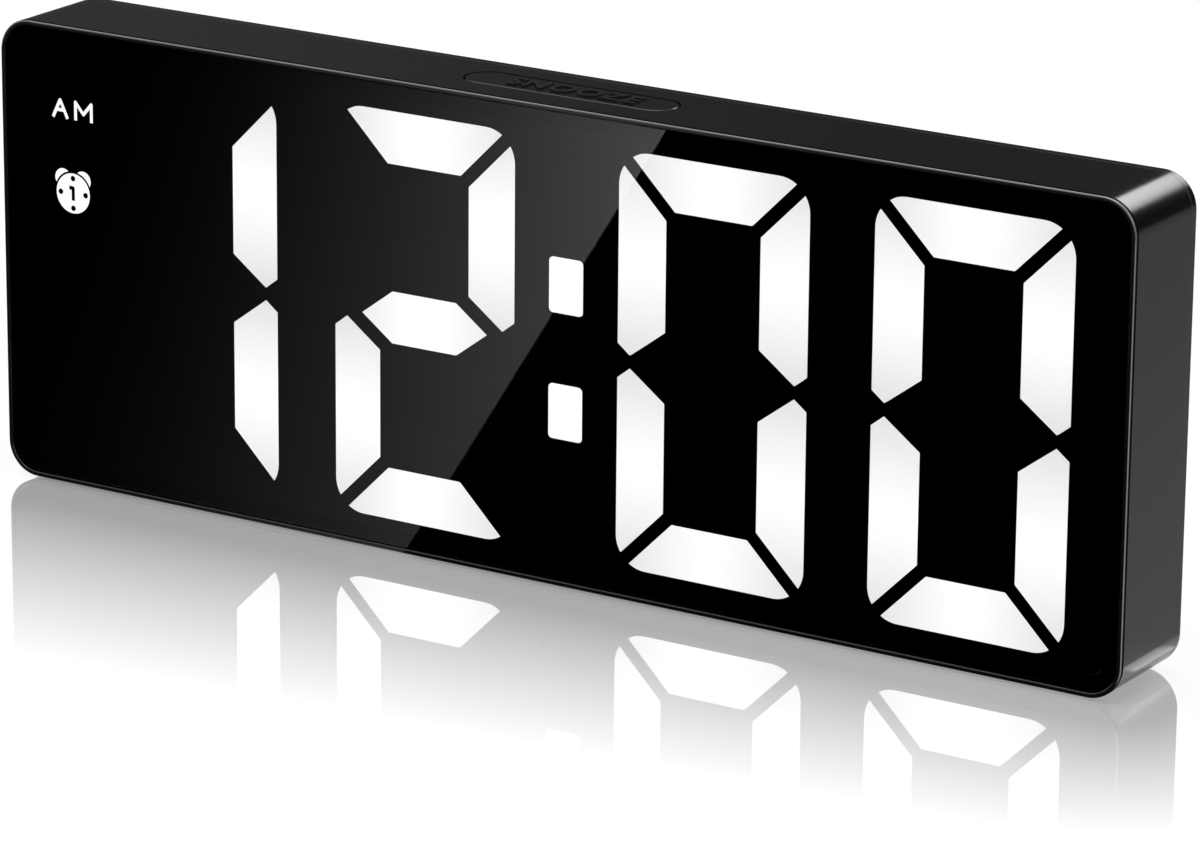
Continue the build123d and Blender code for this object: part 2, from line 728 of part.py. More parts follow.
def chip(x, height, length, width):
    """Chip with two rows of pins, on the back of the main board."""
    body = slab(at(x, height, Rectangle(length, width)), board_back, board_back + CHIP_HEIGHT)
    count = int((length - CHIP_PIN_PITCH) / CHIP_PIN_PITCH) + 1
    first = x - CHIP_PIN_PITCH * (count - 1) / 2
    pin = Rectangle(CHIP_PIN_WIDTH, width + 2 * CHIP_PIN_REACH)
    pins = Sketch() + [at(first + CHIP_PIN_PITCH * i, height, pin) for i in range(count)]
    return body + slab(pins, board_back, board_back + CHIP_PIN_HEIGHT)


def controller_chip():
    """Chip that keeps the time."""
    return chip(CONTROLLER_X, CONTROLLER_RISE, CONTROLLER_LENGTH, CONTROLLER_WIDTH)


def driver_chip():
    """Chip that drives the light cells."""
    return chip(CONTROLLER_X, DRIVER_RISE, DRIVER_LENGTH, DRIVER_WIDTH)


def timing_crystal():
    """Metal can of the timing crystal."""
    can = slab(
        at(CONTROLLER_X, CRYSTAL_RISE, SlotOverall(CRYSTAL_LENGTH, CRYSTAL_WIDTH)),
        board_back,
        board_back + CRYSTAL_HEIGHT,
    )
    return fillet(can.faces().sort_by(Axis.Y)[-1].edges(), CAPACITOR_ROUND)


def board_capacitors():
    """Two round capacitors that stand on the main board."""
    cans = []
    for i in range(CAPACITOR_COUNT):
        spot = at(CAPACITOR_X, CAPACITOR_RISE + CAPACITOR_PITCH * i, Circle(CAPACITOR_DIAMETER / 2))
        can = slab(spot, board_back, board_back + CAPACITOR_HEIGHT)
        cans.append(fillet(can.faces().sort_by(Axis.Y)[-1].edges(), CAPACITOR_ROUND))
    return Compound(children=cans)


def buzzer():
    """Round sounder with its hole towards the rear cover."""
    spot = at(BUZZER_X, BUZZER_RISE, Circle(BUZZER_DIAMETER / 2))
    top = board_back + BUZZER_HEIGHT
    can = slab(spot, board_back, top)
    can = fillet(can.faces().sort_by(Axis.Y)[-1].edges(), BUZZER_ROUND)
    return can - slab(at(BUZZER_X, BUZZER_RISE, Circle(BUZZER_HOLE / 2)), top - BUZZER_HOLE_DEPTH, top)


def link_header():
    """Plastic strip that holds the pins between the two boards."""
    x = sum(place[0] for place in link_places()) / LINK_PIN_COUNT
    strip = at(x, link_height, Rectangle(LINK_PIN_COUNT * LINK_PIN_PITCH, LINK_WIDTH))
    body = slab(strip, board_back, key_board_front)
    hole = Rectangle(LINK_PIN, LINK_PIN)
    holes = Sketch() + [at(px, pz, hole) for px, pz in link_places()]
    return body - slab(holes, board_back, key_board_front)


def link_pins():
    """Square pins through both boards and the strip between them, flush with the main board's front."""
    pin = Rectangle(LINK_PIN, LINK_PIN)
    outline = Sketch() + [at(x, z, pin) for x, z in link_places()]
    return slab(outline, board_front, key_board_back + LINK_PIN_PROUD)


def screw(x, height, head_front, towards_front, shank, length, head, head_height):
    """Cross-head screw; its head's seat lies at head_front and its shank goes to the front."""
    direction = -1 if towards_front else 1
    tip = head_front + direction * length
    body = slab(at(x, height, Circle(shank / 2)), min(head_front, tip), max(head_front, tip))
    crown = head_front - direction * head_height
    body += slab(at(x, height, Circle(head / 2)), min(head_front, crown), max(head_front, crown))
    bar = Rectangle(head * CROSS_SHARE, CROSS_WIDTH)
    cross = at(x, height, bar + Rot(0, 0, 90) * bar)
    bottom = crown + direction * CROSS_DEPTH
    return body - slab(cross, min(bottom, crown), max(bottom, crown))


def cover_screws():
    """Four screws that hold the rear cover to the pillars."""
    seat = case_depth - DOOR_SET - COVER_SCREW_HEAD_HEIGHT
    return Compound(children=[
        screw(
            x, z, seat, True,
            COVER_SCREW_SHANK, COVER_SCREW_LENGTH, COVER_SCREW_HEAD, COVER_SCREW_HEAD_HEIGHT,
        )
        for x, z in corner_places(PILLAR_INSET)
    ])


def board_screws():
    """Four screws that hold the main board to the reflector."""
    return Compound(children=[
        screw(
            x, z, board_back, True,
            BOARD_SCREW_SHANK, BOARD_SCREW_LENGTH, BOARD_SCREW_HEAD, BOARD_SCREW_HEAD_HEIGHT,
        )
        for x, z in board_screw_places()
    ])


def key_board_screws():
    """Three screws that hold the key board to the rear cover."""
    return Compound(children=[
        screw(
            x, panel_middle, key_board_front, False,
            BOARD_SCREW_SHANK, KEY_SCREW_LENGTH, BOARD_SCREW_HEAD, BOARD_SCREW_HEAD_HEIGHT,
        )
        for x in boss_places
    ])


def bay_outline(grow):
    """Outline of the battery bay, grown on all sides."""
    return at(0, bay_middle, Rectangle(bay_length + 2 * grow, bay_height + 2 * grow))


def door_outline(grow):
    """Outline of the door's opening, grown on all sides."""
    return bay_outline(DOOR_LEDGE + grow)


def cover_lips():
    """Four bars that locate the rear cover inside the case."""
    clear = PILLAR_INSET + PILLAR_HALF + BOARD_CLEAR
    middle = WALL + LIP_CLEAR + LIP_THICK / 2
    across = Rectangle(case_width - 2 * clear, LIP_THICK)
    upright = Rectangle(LIP_THICK, case_height - 2 * clear)
    bars = [at(0, case_top - middle, across), at(0, FOOT_STAND + middle, across)]
    bars += [at(side * (case_width / 2 - middle), case_middle, upright) for side in (-1, 1)]
    return slab(Sketch() + bars, split - LIP_DEPTH, split + COVER_THICK / 2)


def sound_hole_places():
    """Rings of holes over the buzzer."""
    places = [(BUZZER_X, BUZZER_RISE)]
    for ring in range(1, SOUND_RINGS + 1):
        count = 6 * ring
        for i in range(count):
            turn = 2 * pi * i / count
            reach = SOUND_PITCH * ring
            places.append((BUZZER_X + reach * cos(turn), BUZZER_RISE + reach * sin(turn)))
    return places


def tail_places():
    """Side and height of the two contacts that have a solder tail."""
    last_side = 1 if CELL_COUNT % 2 == 1 else -1
    return [(-1, cell_heights[0]), (last_side, cell_heights[-1])]


def rear_cover():
    """Back plate with the battery bay, key panel, bosses and posts."""
    cover = slab(case_outline(0), split, case_depth)
    cover = fillet(cover.faces().sort_by(Axis.Y)[-1].edges(), COVER_ROUND)
    cover = chamfer(cover.faces().sort_by(Axis.Y)[0].edges(), SEAM_CHAMFER)
    cover += cover_lips()
    cover += slab(bay_outline(BAY_WALL), bay_front, split)
    cover += slab(bay_outline(bay_rim), split - BAY_COLLAR_DEPTH, split)
    panel_width = panel_right - panel_left
    panel_x = (panel_left + panel_right) / 2
    pad = Rectangle(panel_width + 2 * PANEL_WALL, PANEL_HEIGHT + 2 * PANEL_WALL)
    cover += slab(at(panel_x, panel_middle, pad), panel_front, split)
    boss = Circle(KEY_BOSS_DIAMETER / 2)
    cover += slab(Sketch() + [at(x, panel_middle, boss) for x in boss_places], key_board_back, split)
    post = Circle(POST_DIAMETER / 2)
    cover += slab(Sketch() + [at(x, z, post) for x, z in post_places()], board_back, split)
    cover -= slab(bay_outline(0), bay_floor, case_depth)
    cover -= slab(door_outline(0), door_front, case_depth)
    panel = RectangleRounded(panel_width, PANEL_HEIGHT, PANEL_CORNER)
    cover -= slab(at(panel_x, panel_middle, panel), panel_back, case_depth)
    cover -= slab(panel_holes(), panel_front, panel_back)
    bore = BOARD_SCREW_SHANK / 2 + SCREW_BORE_CLEAR
    bore_end = key_board_front + KEY_SCREW_LENGTH + SCREW_BORE_CLEAR
    bores = Sketch() + [at(x, panel_middle, Circle(bore)) for x in boss_places]
    cover -= slab(bores, key_board_back, bore_end)
    sound_holes = Sketch() + [at(x, z, Circle(SOUND_HOLE / 2)) for x, z in sound_hole_places()]
    cover -= slab(sound_holes, split, case_depth)
    seat = case_depth - DOOR_SET - COVER_SCREW_HEAD_HEIGHT
    for x, height in corner_places(PILLAR_INSET):
        cover -= slab(at(x, height, Circle(COVER_SCREW_SHANK / 2 + SCREW_CLEAR)), split, seat)
        cover -= slab(at(x, height, Circle(COVER_SCREW_HEAD / 2 + SCREW_CLEAR)), seat, case_depth)
    door_half = bay_length / 2 + DOOR_LEDGE
    cover -= bar_along_x(hinge_round + HINGE_CLEAR, -door_half, door_half, hinge_depth, hinge_height)
    hole_end = door_half - DOOR_CLEAR + PIN_LENGTH + HINGE_CLEAR
    cover -= bar_along_x(PIN_DIAMETER / 2 + PIN_CLEAR, -hole_end, hole_end, hinge_depth, hinge_height)
    cover -= slab(at(0, door_top, Circle(SCOOP_RADIUS)), case_depth - SCOOP_DEPTH, case_depth)
    tail = Rectangle(BAY_WALL + 2 * TAIL_CLEAR, TAIL_WIDTH + 2 * TAIL_CLEAR)
    for side, height in tail_places():
        spot = at(side * (bay_length + BAY_WALL) / 2, height, tail)
        half = CONTACT_THICK / 2 + TAIL_CLEAR
        cover -= slab(spot, cell_depth - half, cell_depth + half)
    return cover


def panel_holes():
    """Holes in the key panel for the keys, the switch knob and the power inlet."""
    key_hole = SlotOverall(KEY_LENGTH + 2 * KEY_CLEAR, KEY_WIDTH + 2 * KEY_CLEAR)
    holes = [at(x, panel_middle, key_hole) for x in key_places]
    knob = Rectangle(KNOB_LENGTH + SLIDER_TRAVEL + 2 * KNOB_CLEAR, KNOB_WIDTH + 2 * KNOB_CLEAR)
    holes.append(at(slider_x, panel_middle, knob))
    inlet = SlotOverall(INLET_LENGTH + 2 * INLET_CLEAR, INLET_WIDTH + 2 * INLET_CLEAR)
    holes.append(at(inlet_x, panel_middle, inlet))
    return Sketch() + holes


def battery_door():
    """Door of the battery bay, with two hinge pins at its lower corners and a ribbed grip."""
    door = slab(door_outline(-DOOR_CLEAR), door_front, door_back)
    lowest = door.faces().sort_by(Axis.Z)[0].edges().filter_by(Axis.X).sort_by(Axis.Y)
    door = fillet(lowest[-1], hinge_round)
    lowest = door.faces().filter_by(Axis.Y).sort_by(Axis.Y)[0].edges().filter_by(Axis.X).sort_by(Axis.Z)
    door = fillet(lowest[0], HINGE_INNER_ROUND)
    pin_end = bay_length / 2 + DOOR_LEDGE - DOOR_CLEAR + PIN_LENGTH
    pin_start = pin_end - PIN_LENGTH - PIN_DIAMETER
    for side in (-1, 1):
        ends = sorted((side * pin_start, side * pin_end))
        door += bar_along_x(PIN_DIAMETER / 2, ends[0], ends[1], hinge_depth, hinge_height)
    groove = SlotOverall(GRIP_LENGTH, GRIP_WIDTH)
    top = door_top - DOOR_CLEAR - GRIP_DROP
    grooves = Sketch() + [at(0, top - GRIP_PITCH * i, groove) for i in range(GRIP_COUNT)]
    return door - slab(grooves, door_back - GRIP_CUT, door_back)


def cell_bar(index, radius, start, end):
    """Round bar on the axis of one cell; places count from the cell's plus end inwards."""
    side = 1 if index % 2 == 0 else -1
    plus_end = bay_length / 2 - CONTACT_THICK - CONTACT_CLEAR
    ends = sorted((side * (plus_end - start), side * (plus_end - end)))
    return bar_along_x(radius, ends[0], ends[1], cell_depth, cell_heights[index])


def battery_cells():
    """Metal cans of the cells; every second one is turned round."""
    radius = CELL_DIAMETER / 2 - WRAP_THICK
    cans = []
    for i in range(CELL_COUNT):
        nub = cell_bar(i, CELL_NUB_DIAMETER / 2, 0, 2 * CELL_NUB_LENGTH)
        cans.append(cell_bar(i, radius, CELL_NUB_LENGTH, CELL_LENGTH) + nub)
    return Compound(children=cans)


def battery_wraps():
    """Printed sleeves round the cans."""
    inner = CELL_DIAMETER / 2 - WRAP_THICK + WRAP_CLEAR
    start = CELL_NUB_LENGTH + WRAP_INSET
    end = CELL_LENGTH - WRAP_INSET
    return Compound(children=[
        cell_bar(i, CELL_DIAMETER / 2, start, end) - cell_bar(i, inner, start, end)
        for i in range(CELL_COUNT)
    ])


def contact_plate(side, low, high):
    """Contact plate at one end of the bay, from one height to another."""
    x = side * (bay_length - CONTACT_THICK) / 2
    outline = at(x, (low + high) / 2, Rectangle(CONTACT_THICK, high - low))
    return slab(outline, cell_depth - CONTACT_SIZE / 2, cell_depth + CONTACT_SIZE / 2)


def battery_contacts():
    """Plates that join the cells in a row; the first and last have a solder tail."""
    plates = []
    for side, height in tail_places():
        plate = contact_plate(side, height - CONTACT_SIZE / 2, height + CONTACT_SIZE / 2)
        reach = CONTACT_THICK + BAY_WALL + TAIL_REACH
        middle = side * (bay_length / 2 - CONTACT_THICK + reach / 2)
        strip = at(middle, height, Rectangle(reach, TAIL_WIDTH))
        plates.append(plate + slab(strip, cell_depth - CONTACT_THICK / 2, cell_depth + CONTACT_THICK / 2))
    for i in range(CELL_COUNT - 1):
        side = 1 if i % 2 == 0 else -1
        low = cell_heights[i] - CONTACT_SIZE / 2
        high = cell_heights[i + 1] + CONTACT_SIZE / 2
        plates.append(contact_plate(side, low, high))
    return Compound(children=plates)


def spring_knots(index):
    """Points and directions of a tapering coil at each quarter turn, from its plate to the cell."""
    side = 1 if index % 2 == 0 else -1
    base = -bay_length / 2 + CONTACT_THICK + SPRING_WIRE / 2 + CONTACT_CLEAR / 2
    rise = SPRING_LENGTH - SPRING_WIRE
    quarters = 4 * SPRING_TURNS
    knots = []
    for i in range(quarters + 1):
        turn = i * pi / 2
        shrink = (SPRING_BASE_RADIUS - SPRING_TIP_RADIUS) / (quarters * pi / 2)
        radius = SPRING_BASE_RADIUS - shrink * turn
        point = Vector(
            side * (base + rise * i / quarters),
            y_at(cell_depth) + radius * cos(turn),
            cell_heights[index] + radius * sin(turn),
        )
        heading = Vector(
            side * rise / (quarters * pi / 2),
            -radius * sin(turn) - shrink * cos(turn),
            radius * cos(turn) - shrink * sin(turn),
        )
        knots.append((point, heading.normalized()))
    return knots


def two_arcs(start, heading, end, last_heading):
    """Two arcs that leave one point and reach another along the headings given."""
    chord = end - start
    both = heading + last_heading
    bend = 2 * (1 - heading.dot(last_heading))
    along = chord.dot(both)
    reach = (sqrt(along * along + bend * chord.dot(chord)) - along) / bend
    first_corner = start + heading * reach
    last_corner = end - last_heading * reach
    joint = (first_corner + last_corner) / 2
    tangent = (last_corner - first_corner).normalized()
    return [TangentArc(start, joint, tangent=heading), TangentArc(joint, end, tangent=tangent)]


def battery_springs():
    """Coil springs at the minus ends of the cells."""
    coils = []
    for i in range(CELL_COUNT):
        knots = spring_knots(i)
        edges = []
        for (start, heading), (end, last_heading) in zip(knots, knots[1:]):
            edges += two_arcs(start, heading, end, last_heading)
        section = Plane(origin=knots[0][0], z_dir=knots[0][1]) * Circle(SPRING_WIRE / 2)
        coils.append(sweep(section, path=Wire([edge.edge() for edge in edges])))
        if i == 0:
            gaps = [(knots[k + 4][0] - knots[k][0]).length - SPRING_WIRE for k in range(len(knots) - 4)]
            print("battery spring: least gap between turns", round(min(gaps), 2), "mm")
    return Compound(children=coils)


def battery_leads():
    """Two insulated wires from the solder tails to the main board."""
    wires = []
    for side, height in tail_places():
        start = bay_length / 2 + BAY_WALL + TAIL_REACH
        points = [
            (side * start, y_at(cell_depth), height),
            (side * (start + LEAD_RUN), y_at(cell_depth), height),
            (side * (start + LEAD_RUN), y_at(board_back), height),
        ]
        path = FilletPolyline(*points, radius=LEAD_BEND)
        section = Plane(origin=points[0], z_dir=(side, 0, 0)) * Circle(LEAD_DIAMETER / 2)
        wires.append(sweep(section, path=path))
    return Compound(children=wires)


def key(index):
    """One key: cap through the panel, flange behind it and stem on the plunger."""
    x = key_places[index]
    cap = slab(at(x, panel_middle, SlotOverall(KEY_LENGTH, KEY_WIDTH)), flange_back, key_top)
    cap = fillet(cap.faces().sort_by(Axis.Y)[-1].edges(), KEY_ROUND)
    flange = RectangleRounded(key_flange_length, key_flange_width, KEY_FLANGE_CORNER)
    cap += slab(at(x, panel_middle, flange), flange_front, flange_back)
    return cap + slab(at(x, panel_middle, Circle(PLUNGER_DIAMETER / 2)), plunger_top, flange_front)


def key_plunger(index):
    """Plunger of one key's switch, which moves with the key."""
    spot = at(key_places[index], panel_middle, Circle(PLUNGER_DIAMETER / 2))
    return slab(spot, switch_top - PLUNGER_DEPTH, plunger_top)


def key_switches():
    """Bodies of the four key switches."""
    bore = Circle(PLUNGER_DIAMETER / 2 + PLUNGER_CLEAR)
    body = Rectangle(SWITCH_SIZE, SWITCH_SIZE)
    bodies = slab(Sketch() + [at(x, panel_middle, body) for x in key_places], key_board_back, switch_top)
    bore_depth = PLUNGER_DEPTH + KEY_TRAVEL + PLUNGER_ROOM
    bores = Sketch() + [at(x, panel_middle, bore) for x in key_places]
    return bodies - slab(bores, switch_top - bore_depth, switch_top)


def key_board():
    """Small board behind the key panel."""
    middle = (board_left + board_right) / 2
    outline = at(middle, panel_middle, Rectangle(board_right - board_left, KEY_BOARD_HEIGHT))
    hole = Circle(BOARD_SCREW_SHANK / 2 + SCREW_CLEAR)
    outline -= [at(x, panel_middle, hole) for x in boss_places]
    outline -= [at(x, z, Circle(LINK_HOLE / 2)) for x, z in link_places()]
    return slab(outline, key_board_front, key_board_back)


def alarm_switch():
    """Body of the slide switch that arms the alarm."""
    top = key_board_back + SLIDER_HEIGHT
    body = slab(at(slider_x, panel_middle, Rectangle(SLIDER_LENGTH, SLIDER_WIDTH)), key_board_back, top)
    slot = Rectangle(KNOB_FOOT_LENGTH + SLIDER_TRAVEL + 2 * KNOB_CLEAR, KNOB_FOOT_WIDTH + 2 * KNOB_CLEAR)
    return body - slab(at(slider_x, panel_middle, slot), top - SLIDER_SLOT_DEPTH, top)


def alarm_switch_knob():
    """Knob of the slide switch, at the left end of its travel seen from the front."""
    x = slider_x - SLIDER_TRAVEL / 2
    top = key_board_back + SLIDER_HEIGHT
    knob = slab(at(x, panel_middle, Rectangle(KNOB_LENGTH, KNOB_WIDTH)), top + SLIDER_ROOM, key_top)
    knob = fillet(knob.faces().sort_by(Axis.Y)[-1].edges(), KNOB_ROUND)
    foot = Rectangle(KNOB_FOOT_LENGTH, KNOB_FOOT_WIDTH)
    return knob + slab(at(x, panel_middle, foot), top - SLIDER_SLOT_DEPTH + SLIDER_ROOM, top + SLIDER_ROOM)


def power_inlet():
    """Metal shell of the power inlet, open to the back."""
    outer = SlotOverall(INLET_LENGTH, INLET_WIDTH)
    inner = SlotOverall(INLET_LENGTH - 2 * INLET_WALL, INLET_WIDTH - 2 * INLET_WALL)
    shell = slab(at(inlet_x, panel_middle, outer), key_board_back, panel_back - INLET_SET)
    return shell - slab(at(inlet_x, panel_middle, inner), key_board_back + INLET_FLOOR, panel_back)


def inlet_tongue():
    """Contact tongue inside the power inlet."""
    tongue = at(inlet_x, panel_middle, Rectangle(TONGUE_LENGTH, TONGUE_THICK))
    return slab(tongue, key_board_back + INLET_FLOOR, panel_back - INLET_SET - TONGUE_SET)


def snooze_button():
    """Long button let into the top, with a flange under the top and a stem on its switch."""
    cap = plan(SlotOverall(SNOOZE_LENGTH, SNOOZE_WIDTH), snooze_flange_top, case_top)
    cap = fillet(cap.faces().sort_by(Axis.Z)[-1].edges(), SNOOZE_ROUND)
    flange_length = SNOOZE_LENGTH + 2 * SNOOZE_FLANGE_REACH
    flange_width = SNOOZE_WIDTH - 2 * SNOOZE_FLANGE_INSET
    cap += plan(SlotOverall(flange_length, flange_width), snooze_stem_top, snooze_flange_top)
    stem = Pos(0, y_at(snooze_switch_depth)) * Circle(SNOOZE_STEM_DIAMETER / 2)
    return cap + plan(stem, snooze_plunger_top, snooze_stem_top)


def snooze_plunger():
    """Plunger of the snooze switch, which moves with the button."""
    spot = Pos(0, y_at(snooze_switch_depth)) * Circle(SNOOZE_PLUNGER_DIAMETER / 2)
    return plan(spot, snooze_switch_top - PLUNGER_DEPTH, snooze_plunger_top)


def snooze_switch():
    """Body of the snooze switch, on the front of the key board."""
    spot = Pos(0, y_at(snooze_switch_depth))
    body = plan(
        spot * Rectangle(SNOOZE_SWITCH_LENGTH, SNOOZE_SWITCH_DEPTH),
        snooze_switch_top - SNOOZE_SWITCH_HEIGHT,
        snooze_switch_top,
    )
    bore = Circle(SNOOZE_PLUNGER_DIAMETER / 2 + PLUNGER_CLEAR)
    bore_depth = PLUNGER_DEPTH + SNOOZE_TRAVEL + PLUNGER_ROOM
    return body - plan(spot * bore, snooze_switch_top - bore_depth, snooze_switch_top)


parts = {
    "front_housing": front_housing(),
    "front_lens": front_lens(),
    "lens_adhesive": lens_adhesive(),
    "rear_cover": rear_cover(),
    "battery_door": battery_door(),
    "cover_screws": cover_screws(),
    "foot_strips": foot_strips(),
    "display_reflector": display_reflector(),
    "colon_dots": colon_dots(),
    "am_marker": marker("am"),
    "alarm_marker": marker("alarm"),
    "pm_marker": marker("pm"),
    "marker_inlays": marker_inlays(),
    "segment_leds": segment_leds(),
    "main_board": main_board(),
    "controller_chip": controller_chip(),
    "driver_chip": driver_chip(),
    "timing_crystal": timing_crystal(),
    "board_capacitors": board_capacitors(),
    "buzzer": buzzer(),
    "board_screws": board_screws(),
    "key_board": key_board(),
    "key_switches": key_switches(),
    "key_board_screws": key_board_screws(),
    "alarm_switch": alarm_switch(),
    "alarm_switch_knob": alarm_switch_knob(),
    "power_inlet": power_inlet(),
    "inlet_tongue": inlet_tongue(),
    "link_header": link_header(),
    "link_pins": link_pins(),
    "battery_cells": battery_cells(),
    "battery_wraps": battery_wraps(),
    "battery_contacts": battery_contacts(),
    "battery_springs": battery_springs(),
    "battery_leads": battery_leads(),
    "snooze_button": snooze_button(),
    "snooze_plunger": snooze_plunger(),
    "snooze_switch": snooze_switch(),
}
for index in range(4):
    parts[f"digit_{index + 1}_lit"] = digit_lit(index)
    parts[f"digit_{index + 1}_dark"] = digit_dark(index)
for index, name in enumerate(key_names):
    parts[f"{name}_key"] = key(index)
    parts[f"{name}_plunger"] = key_plunger(index)

os.makedirs("parts", exist_ok=True)
for name, shape in parts.items():
    export_step(shape, f"parts/{name}.step")
print("case", round(case_width, 2), "wide", round(case_depth, 2), "deep", round(case_top, 2), "high")
print("hinge axis at y", round(y_at(hinge_depth), 3), "z", round(hinge_height, 3))
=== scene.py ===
"""Looks of a slim digital alarm clock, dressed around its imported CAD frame."""

from __future__ import annotations

import json
import logging
import math
from dataclasses import dataclass
from enum import Enum
from functools import cached_property

import bpy
from mathutils import Matrix, Vector

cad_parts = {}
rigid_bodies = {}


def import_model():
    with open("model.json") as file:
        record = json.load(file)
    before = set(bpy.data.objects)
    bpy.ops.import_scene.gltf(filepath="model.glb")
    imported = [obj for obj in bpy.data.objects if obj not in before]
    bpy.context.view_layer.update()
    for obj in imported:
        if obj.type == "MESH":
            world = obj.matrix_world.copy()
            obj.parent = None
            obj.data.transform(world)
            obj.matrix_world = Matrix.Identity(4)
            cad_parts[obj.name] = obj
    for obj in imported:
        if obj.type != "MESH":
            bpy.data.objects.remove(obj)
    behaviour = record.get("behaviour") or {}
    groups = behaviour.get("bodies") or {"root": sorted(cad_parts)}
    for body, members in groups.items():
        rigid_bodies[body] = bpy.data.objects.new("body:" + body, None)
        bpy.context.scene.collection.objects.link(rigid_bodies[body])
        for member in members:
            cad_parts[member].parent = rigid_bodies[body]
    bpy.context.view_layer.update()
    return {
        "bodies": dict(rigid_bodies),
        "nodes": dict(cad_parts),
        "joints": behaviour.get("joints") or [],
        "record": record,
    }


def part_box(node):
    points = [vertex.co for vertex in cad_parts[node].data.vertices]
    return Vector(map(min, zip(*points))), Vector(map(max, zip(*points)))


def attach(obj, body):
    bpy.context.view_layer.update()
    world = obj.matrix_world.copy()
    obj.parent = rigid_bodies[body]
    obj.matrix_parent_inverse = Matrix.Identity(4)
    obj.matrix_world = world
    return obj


LOG = logging.getLogger("alarm_clock")
PHOTO_WIDTH_PX = 1200.0
LETTER_SPREAD = 1.15

Colour = tuple[float, float, float]
Point = tuple[float, float]
Socket = bpy.types.NodeSocket
Value = float | Colour | Vector | Socket

WHITE: Colour = (1.0, 1.0, 1.0)
EVEN: Colour = (1.0, 1.0, 1.0)


class Slot(Enum):
    """Material slots of the clock."""

    HOUSING = "housing_black"
    COVER = "cover_black"
    BUTTON = "button_black"
    KEY = "key_black"
    LENS = "lens_smoked"
    TAPE = "tape_black"
    REFLECTOR = "reflector_black"
    LIT = "segment_lit"
    DARK = "segment_dark"
    LED = "led_chip"
    BOARD = "board_green"
    CHIP = "chip_black"
    SWITCH = "switch_black"
    WHITE = "plunger_white"
    CAN = "can_steel"
    CAPACITOR = "capacitor_sleeve"
    SCREW = "screw_steel"
    CONTACT = "contact_nickel"
    SPRING = "spring_nickel"
    PIN = "pin_brass"
    WRAP = "cell_wrap"
    LEAD = "lead_sleeve"
    RUBBER = "foot_rubber"


class Side(Enum):
    """Side of the clock that a sign lies on, as its right, up and outward directions."""

    TOP = ((1, 0, 0), (0, 1, 0), (0, 0, 1))
    REAR = ((-1, 0, 0), (0, 0, 1), (0, 1, 0))

    def placed(self, at: Vector) -> Matrix:
        """Matrix that lays a sign drawn in its own X and Y on this side, at a place."""
        return Matrix.Translation(at) @ Matrix(self.value).transposed().to_4x4()


class Graph:
    """Adds and joins the nodes of one shader tree."""

    def __init__(self, tree: bpy.types.NodeTree) -> None:
        """Keeps the tree that the nodes go into."""
        self.tree = tree

    def add(self, kind: str, **settings: object) -> bpy.types.Node:
        """Adds a node.

        Args:
            kind: Blender's name of the node type.
            **settings: Attributes to set on the node.

        Returns:
            The new node.
        """
        node = self.tree.nodes.new(kind)
        for name, value in settings.items():
            setattr(node, name, value)
        return node

    def find(self, kind: str) -> bpy.types.Node:
        """The first node of a type among those that the tree has."""
        return next(node for node in self.tree.nodes if node.type == kind)

    def feed(self, node: bpy.types.Node, inputs: dict[str | int, Value]) -> bpy.types.Node:
        """Sets or links the inputs of a node.

        Args:
            node: The node to feed.
            inputs: Input names or places, each with a socket to link or a plain value.

        Returns:
            The same node.
        """
        for key, value in inputs.items():
            socket = node.inputs[key]
            if isinstance(value, Socket):
                self.tree.links.new(value, socket)
            elif socket.type == "RGBA":
                socket.default_value = (*value, 1.0)
            else:
                socket.default_value = value
        return node

    def math(self, operation: str, first: Value, second: Value = 0.0) -> Socket:
        """Adds a Math node and returns its result."""
        node = self.add("ShaderNodeMath", operation=operation)
        return self.feed(node, {0: first, 1: second}).outputs[0]

    def vector(self, operation: str, first: Value, second: Value = Vector()) -> Socket:
        """Adds a Vector Math node and returns its vector."""
        node = self.add("ShaderNodeVectorMath", operation=operation)
        return self.feed(node, {0: first, 1: second}).outputs["Vector"]

    def scaled(self, vector: Value, factor: Value) -> Socket:
        """Multiplies a vector or colour by one number."""
        node = self.add("ShaderNodeVectorMath", operation="SCALE")
        return self.feed(node, {"Vector": vector, "Scale": factor}).outputs["Vector"]

    def dot(self, first: Value, second: Value) -> Socket:
        """Adds a dot product and returns its number."""
        node = self.add("ShaderNodeVectorMath", operation="DOT_PRODUCT")
        return self.feed(node, {0: first, 1: second}).outputs["Value"]

    def split(self, vector: Value) -> bpy.types.bpy_prop_collection:
        """Splits a vector into its parts, named X, Y and Z."""
        return self.feed(self.add("ShaderNodeSeparateXYZ"), {0: vector}).outputs

    def blended(self, share: Value, first: Value, second: Value) -> Socket:
        """Mixes two colours by a share and returns the colour."""
        node = self.add("ShaderNodeMix", data_type="RGBA")
        return self.feed(node, {"Factor": share, 6: first, 7: second}).outputs[2]

    def noise(self, at: Value, scale: Value, detail: float) -> Socket:
        """Adds a noise texture and returns its value, about 0 to 1."""
        node = self.add("ShaderNodeTexNoise")
        return self.feed(node, {"Vector": at, "Scale": scale, "Detail": detail}).outputs["Fac"]

    def at_rest(self, name: str) -> Socket:
        """Place (Object) or direction (Normal) of the surface with the piece at rest."""
        return self.add("ShaderNodeTexCoord").outputs[name]

    def geometry(self, name: str) -> Socket:
        """One output of the Geometry node."""
        return self.add("ShaderNodeNewGeometry").outputs[name]

    def group(
        self, tree: bpy.types.NodeTree, inputs: dict[str | int, Value],
    ) -> bpy.types.bpy_prop_collection:
        """Places a shared group, feeds it and returns its outputs."""
        return self.feed(self.add("ShaderNodeGroup", node_tree=tree), inputs).outputs


